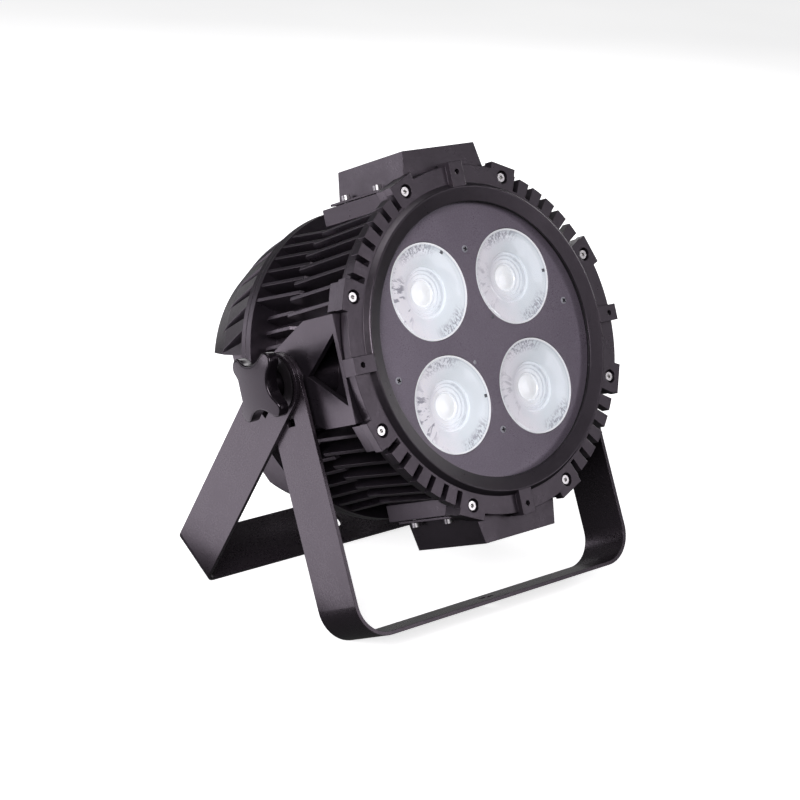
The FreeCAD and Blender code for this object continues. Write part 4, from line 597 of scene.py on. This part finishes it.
def knob_rows():
    """Rows from the face's middle to the end of the bore: each a list of (angle, reach, depth)."""
    angles = [2 * math.pi * step / KNOB_SIDES for step in range(KNOB_SIDES)]
    rows = []
    for share in FACE_SHARES:
        reaches = [share * lobed(theta, KNOB_EDGE) for theta in angles]
        rows.append([(theta, reach, crown(reach)) for theta, reach in zip(angles, reaches)])
    for step in range(1, 7):
        turn = step * math.pi / 12
        inset = KNOB_EDGE * (1 - math.sin(turn))
        drop = KNOB_EDGE * (1 - math.cos(turn))
        reaches = [lobed(theta, inset) for theta in angles]
        rows.append([(theta, reach, drop + crown(reach)) for theta, reach in zip(angles, reaches)])
    for step in range(5):
        turn = step * math.pi / 8
        inset = KNOB_DRAFT + KNOB_BACK_EDGE * (1 - math.cos(turn))
        depth = KNOB_THICK - KNOB_BACK_EDGE * (1 - math.sin(turn))
        rows.append([(theta, lobed(theta, inset), depth) for theta in angles])
    end = KNOB_THICK + HUB_LENGTH
    for radius, depth in ((HUB_RADIUS, KNOB_THICK), (HUB_RADIUS, end - HUB_EDGE),
                          (HUB_RADIUS - HUB_EDGE, end), (STUD_RADIUS, end),
                          (STUD_RADIUS, BORE_END)):
        rows.append([(theta, radius, depth) for theta in angles])
    return rows


def knob(side, sign):
    """One clamp knob; its valleys lie along the head's own axes, as the CAD's do."""
    low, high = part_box(side + "_knob")
    face = high[0] if sign > 0 else low[0]
    place = (Matrix.Translation((face, PIVOT_Y, PIVOT_Z)) @ Matrix.Rotation(-HEAD_TILT, 4, "X"))
    mesh = bmesh.new()
    rows = [[mesh.verts.new((-sign * depth * MM, reach * MM * math.cos(theta),
                             reach * MM * math.sin(theta))) for theta, reach, depth in row]
            for row in knob_rows()]
    peak = mesh.verts.new((0, 0, 0))
    bottom = mesh.verts.new((-sign * BORE_END * MM, 0, 0))
    for step in range(KNOB_SIDES):
        after = (step + 1) % KNOB_SIDES
        mesh.faces.new((peak, rows[0][step], rows[0][after]))
        for first, second in zip(rows, rows[1:]):
            mesh.faces.new((first[step], second[step], second[after], first[after]))
        mesh.faces.new((rows[-1][step], bottom, rows[-1][after]))
    bmesh.ops.recalc_face_normals(mesh, faces=mesh.faces)
    bmesh.ops.transform(mesh, matrix=place, verts=mesh.verts)
    piece = settle(side + "_clamp_knob", mesh, "knob_plastic", side + "_clamp", edge=50)
    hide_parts(side + "_knob")


knob("left", -1)
knob("right", 1)


# panel screws with cross recesses darkened by painted shade, and two small pins

PANEL_SCREWS = ((0, 70.5), (91.5, 17), (0, -70.5), (-91.5, -17))
SCREW_RADIUS = 2.8
SCREW_RISE = 0.65
# thickness of the head's rim
SCREW_LIFT = 0.4
SCREW_SIDES = 48
# first screw's turn about its axis and the step to the next, in radians
FIRST_TURN = 0.35
TURN_STEP = 0.6
HEAD_SHARES = (1.0, 0.98, 0.9, 0.8, 0.7, 0.6, 0.5, 0.4, 0.3, 0.2, 0.1)


def cross_head(mesh, place):
    """Domed screw head: ring, dome and a four-winged cross sunk into it."""
    arm = 0.22 * SCREW_RADIUS
    reach = 0.68 * SCREW_RADIUS
    rows = []
    for share in HEAD_SHARES:
        row = []
        for step in range(SCREW_SIDES):
            angle = 2 * math.pi * step / SCREW_SIDES
            x = share * SCREW_RADIUS * math.cos(angle)
            z = share * SCREW_RADIUS * math.sin(angle)
            depth = -SCREW_LIFT - SCREW_RISE * (1 - share ** 2.4)
            if min(abs(x), abs(z)) < arm and max(abs(x), abs(z)) < reach:
                depth += 0.75 * SCREW_RISE + 0.5 * (reach - max(abs(x), abs(z)))
            row.append(mesh.verts.new((x * MM, depth * MM, z * MM)))
        rows.append(row)
    tip = mesh.verts.new((0, (-SCREW_LIFT + 0.6 * SCREW_RISE) * MM, 0))
    foot = [mesh.verts.new((vert.co.x, 0, vert.co.z)) for vert in rows[0]]
    for first, second in zip([foot] + rows, rows):
        for step in range(SCREW_SIDES):
            after = (step + 1) % SCREW_SIDES
            mesh.faces.new((first[step], first[after], second[after], second[step]))
    for step in range(SCREW_SIDES):
        mesh.faces.new((rows[-1][step], rows[-1][(step + 1) % SCREW_SIDES], tip))
    verts = [vert for row in rows + [foot] for vert in row] + [tip]
    bmesh.ops.transform(mesh, matrix=place, verts=verts)


shape = bmesh.new()
painted_cross_shade = bmesh.new()
for index, (x, z) in enumerate(PANEL_SCREWS):
    turn = FIRST_TURN + TURN_STEP * index
    cross_head(shape, at(x, 0, z) @ Matrix.Rotation(turn, 4, "Y"))
    # painted shade: dark bars laid into the top of each cross recess
    for wing in (turn, turn + math.pi / 2):
        prism(painted_cross_shade, rectangle(-1.75, -0.42, 1.75, 0.42), -1.09, -0.6,
              at(x, 0, z) @ Matrix.Rotation(wing, 4, "Y"))
settle("panel_screw_crosses", painted_cross_shade, "zinc_screw", look=dark_washer_and_painted_shade)
heads = settle("panel_screw_heads", shape, "zinc_screw", edge=40, look=bright_screw)
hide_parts("panel_screws")

PIN = [(0, -0.55), (0.8, -0.5), (1.3, -0.3), (1.5, 0.0)]

for name, x, z, look in (("panel_upper_pin", 13.8, 15.5, gate_mark),
                         ("panel_lower_pin", -13.9, -15.7, bright_screw)):
    shape = bmesh.new()
    lathe(shape, PIN, at(x, 0, z), 24)
    settle(name, shape, "zinc_screw", edge=60, look=look)


# painted shadow: dark discs between the knobs' hubs and the front bracket, where the knobs shade
# the bracket

DISC_BORE = HUB_RADIUS + 0.4
DISC = [(DISC_BORE, -0.05), (DISC_BORE, -0.9), (20.9, -0.9), (21.5, -0.6), (21.5, -0.05),
        (DISC_BORE, -0.05)]


def painted_shadow_disc(side, sign):
    """Flat dark ring round the hub on the bracket's outer face: a painted shadow of the knob."""
    low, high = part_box(side + "_knob")
    inner_face = low[0] if sign > 0 else high[0]
    place = (Matrix.Translation((inner_face, PIVOT_Y, PIVOT_Z))
             @ Matrix.Rotation(sign * math.pi / 2, 4, "Z"))
    mesh = bmesh.new()
    lathe(mesh, DISC, place, 96)
    settle(side + "_painted_shadow_disc", mesh, "black_plastic", "front_bracket", look=dark_washer_and_painted_shade)


painted_shadow_disc("left", -1)
painted_shadow_disc("right", 1)


# control panel and sockets on the rear cover

COVER_BACK = 222.0
DISPLAY_Z = 40
BUTTONS_Z = 8
SOCKETS_Z = -38


def rounded_loop(half_width, half_height, corner):
    """Outline of a rectangle with round corners, as (x, z) points."""
    steps = 6
    points = []
    for quarter in range(4):
        angle = quarter * math.pi / 2
        across = (half_width - corner) * (1 if quarter in (0, 3) else -1)
        up = (half_height - corner) * (1 if quarter in (0, 1) else -1)
        for step in range(steps + 1):
            turn = angle + step * math.pi / 2 / steps
            points.append((across + corner * math.cos(turn), up + corner * math.sin(turn)))
    return points


def skin(mesh, loops, place):
    """Closed frame through loops of equal length; each loop is (depth, outline)."""
    rows = [[mesh.verts.new((x * MM, depth * MM, z * MM)) for x, z in outline]
            for depth, outline in loops]
    for first, second in zip(rows, rows[1:] + rows[:1]):
        for step in range(len(first)):
            after = (step + 1) % len(first)
            mesh.faces.new((first[step], second[step], second[after], first[after]))
    bmesh.ops.transform(mesh, matrix=place, verts=[vert for row in rows for vert in row])


# each row: depth, half width, half height, corner radius
BEZEL = ((-0.1, 36, 17, 4), (0.8, 36, 17, 4), (1.2, 35.6, 16.6, 3.6),
         (1.2, 32.6, 13.6, 1.6), (0.8, 32, 13, 1.2), (-0.1, 32, 13, 1.2))
shape = bmesh.new()
skin(shape, [(depth, rounded_loop(*size)) for depth, *size in BEZEL],
     at(0, COVER_BACK, DISPLAY_Z))
settle("display_bezel", shape, "black_plastic", edge=28)

# unlit segments of the four digits behind the window: (x, z, whether it lies)
SEGMENTS = ((0, 4.9, True), (-2.6, 2.5, False), (2.6, 2.5, False), (0, 0, True),
            (-2.6, -2.5, False), (2.6, -2.5, False), (0, -4.9, True))
LYING_BAR = [(-1.95, 0), (-1.5, 0.45), (1.5, 0.45), (1.95, 0), (1.5, -0.45), (-1.5, -0.45)]
STANDING_BAR = [(-up, across) for across, up in LYING_BAR]
shape = bmesh.new()
for digit in (-19.5, -6.5, 6.5, 19.5):
    for x, z, lying in SEGMENTS:
        bar = LYING_BAR if lying else STANDING_BAR
        prism(shape, [(digit + x + across, z + up) for across, up in bar], -0.25, -0.17,
              at(0, COVER_BACK, DISPLAY_Z))
settle("display_segments", shape, "display_pane", look=dim_segment)

THREAD = [(9.9, 3.4)]
for turn in range(7):
    THREAD += [(10.0, 3.5 + turn), (10.42, 3.85 + turn), (10.42, 4.1 + turn)]
THREAD += [(10.0, 10.5), (9.9, 10.5), (9.9, 3.4)]
# radius of a contact pin and of the circle of three that it stands on
POWER_PINS = (1.1, 3.6)
SIGNAL_PINS = (0.8, 3.3)
RIB = ((13.7, -0.055), (14.35, -0.02), (14.35, 0.02), (13.7, 0.055))
RIB_COUNT = 24

threads = bmesh.new()
contacts = bmesh.new()
keys = bmesh.new()
for x, (radius, circle) in ((-51, POWER_PINS), (-17, POWER_PINS), (17, SIGNAL_PINS),
                            (51, SIGNAL_PINS)):
    socket = at(x, COVER_BACK, SOCKETS_Z)
    lathe(threads, THREAD, socket, 48)
    for pin in range(3):
        angle = math.radians(90 + 120 * pin)
        spot = Matrix.Translation((circle * math.cos(angle) * MM, 0,
                                   circle * math.sin(angle) * MM))
        contact = [(0, 1.9), (radius, 1.9), (radius, 7.4), (0.6 * radius, 8.0), (0, 8.0)]
        lathe(contacts, contact, socket @ spot, 20)
    prism(keys, rectangle(-0.9, -7.6, 0.9, -6.5), 1.9, 9.5, socket)
    for rib in range(RIB_COUNT):
        angle = 2 * math.pi * rib / RIB_COUNT
        outline = [(reach * math.cos(angle + off), reach * math.sin(angle + off))
                   for reach, off in RIB]
        prism(keys, outline, 0.3, 2.6, socket)
settle("socket_threads", threads, "socket_plastic", edge=25)
settle("socket_pins", contacts, "bare_metal", edge=40)
settle("socket_keys", keys, "socket_plastic", edge=25)

BUTTON_FACE = 1.6
BUTTON_PITCH = 20
# outlines of each button's mark: three bars, two arrows, and a ring where there are none
MARKS = (("menu", [rectangle(-2.2, z - 0.35, 2.2, z + 0.35) for z in (-1.5, 0, 1.5)]),
         ("down", [[(-2.1, 1.2), (0, -2.0), (2.1, 1.2)]]),
         ("up", [[(-2.1, -1.2), (2.1, -1.2), (0, 2.0)]]),
         ("enter", []))
MARK_RING = [(2.3, 1.55), (2.3, 1.8), (1.6, 1.8), (1.6, 1.55), (2.3, 1.55)]

for index, (name, outlines) in enumerate(MARKS):
    place = at((index - 1.5) * BUTTON_PITCH, COVER_BACK, BUTTONS_Z)
    shape = bmesh.new()
    for outline in outlines:
        prism(shape, outline, BUTTON_FACE - 0.05, BUTTON_FACE + 0.2, place)
    if not outlines:
        lathe(shape, MARK_RING, place, 36)
    settle(name + "_mark", shape, "button_rubber", name + "_button", look=mark_print)


# camera: its axes and place fit the photograph's view

CAMERA_LENS = 96.05
CAMERA_SENSOR = 36.0
CAMERA_REACH = 60.0
CAMERA_RIGHT = (0.75141, -0.65747, 0.05580)
CAMERA_UP = (0.17248, 0.27735, 0.94516)
CAMERA_BACK = (-0.63689, -0.70058, 0.32180)
CAMERA_PLACE = (-1.09502, -1.20224, 0.69690)

camera_data = bpy.data.cameras.new("view")
camera_data.lens = CAMERA_LENS
camera_data.sensor_width = CAMERA_SENSOR
camera_data.clip_end = CAMERA_REACH
camera = bpy.data.objects.new("view", camera_data)
scene.collection.objects.link(camera)
camera.matrix_world = Matrix((*zip(CAMERA_RIGHT, CAMERA_UP, CAMERA_BACK, CAMERA_PLACE),
                              (0, 0, 0, 1)))
scene.camera = camera


# floor

FLOOR_HALF = 14.0
FLOOR_CELLS = 24
FLOOR_GAP = 0.2 * MM


def floor_finish():
    """Matt pale paper, barely mottled, that gives off a little light of its own."""
    f = Finish("floor_paper")
    fibre = f.noise(900.0, 2.0)
    cloud = f.noise(1.5, 2.0)
    f.give(Base_Color=f.ramp(cloud, (0.3, (0.90, 0.90, 0.905)), (0.7, (0.93, 0.93, 0.935))),
           Roughness=f.span(fibre, 0.3, 0.7, 0.85, 0.95), Specular_IOR_Level=0.15,
           Emission_Color=f.ramp(cloud, (0.3, (0.96, 0.96, 0.96)), (0.7, (1.0, 1.0, 1.0))),
           Emission_Strength=0.75)
    return f.material


shape = bmesh.new()
bmesh.ops.create_grid(shape, x_segments=FLOOR_CELLS, y_segments=FLOOR_CELLS, size=FLOOR_HALF)
floor_mesh = bpy.data.meshes.new("floor")
shape.to_mesh(floor_mesh)
shape.free()
floor = bpy.data.objects.new("floor", floor_mesh)
floor.location.z = min(corner[2] for corner in cad_box) - FLOOR_GAP
scene.collection.objects.link(floor)
floor_mesh.materials.append(floor_finish())
# the lamp's underside is dark in the photograph, so the floor neither lights it nor mirrors in
# it, and lets the light from below through
floor.visible_glossy = False
floor.visible_diffuse = False
floor.visible_shadow = False


# lights: name, place, aim, size, power in watts, tint

CENTRE = (0.0, 0.0, 0.18)
WHITE = (1.0, 1.0, 1.0)
LIGHTS = (
    ("key", (-1.9, -1.3, 1.5), CENTRE, (1.3, 1.0), 60.0, (1.0, 0.97, 1.0)),
    ("left_card", (-0.645, 0.40, 0.0006), (-0.645, 0.4001, 1.0), (0.91, 0.90), 5.1,
     (1.0, 0.94, 1.03)),
    ("left_glint", (-1.33, 0.95, 0.14), (-0.17, -0.02, 0.19), (0.25, 0.25), 1.6,
     (1.0, 0.95, 1.02)),
    ("front_right", (1.03, -1.70, 0.81), CENTRE, (0.9, 0.9), 5.5, (1.0, 0.95, 1.02)),
    ("left_rear", (-1.15, 1.85, 0.52), (-0.06, 0.05, 0.33), (0.9, 0.8), 4.6,
     (1.0, 0.95, 1.04)),
    ("top", (-0.3, 0.6, 2.2), CENTRE, (1.6, 1.2), 14.0, WHITE),
    ("back_fill", (1.35, 1.75, 1.25), CENTRE, (1.1, 0.9), 8.0, WHITE),
    ("back_low", (0.25, 2.2, 0.05), CENTRE, (0.9, 0.6), 0.9, WHITE),
    ("right_low", (1.5, 1.6, -0.45), (0, 0, 0.05), (1.0, 0.6), 0.3, WHITE),
    ("right_side", (2.2, 0.15, 0.75), CENTRE, (1.1, 0.9), 16.0, WHITE),
)

for name, place, aim, size, power, tint in LIGHTS:
    data = bpy.data.lights.new(name, "AREA")
    data.shape = "RECTANGLE"
    data.size, data.size_y = size
    data.energy = power
    data.color = tint
    lamp = bpy.data.objects.new(name, data)
    lamp.location = place
    lamp.rotation_mode = "QUATERNION"
    lamp.rotation_quaternion = (Vector(aim) - Vector(place)).to_track_quat("-Z", "Y")
    scene.collection.objects.link(lamp)
    # the card lies on the floor, faces up and isn't seen itself: it lights and mirrors in the lamp
    lamp.visible_camera = name != "left_card"

WORLD_COLOUR = (0.98, 0.985, 1.0, 1.0)
WORLD_STRENGTH = 0.075
world = bpy.data.worlds.new("studio")
world.use_nodes = True
background = world.node_tree.nodes["Background"]
background.inputs["Color"].default_value = WORLD_COLOUR
background.inputs["Strength"].default_value = WORLD_STRENGTH
scene.world = world
scene.view_settings.view_transform = "Standard"
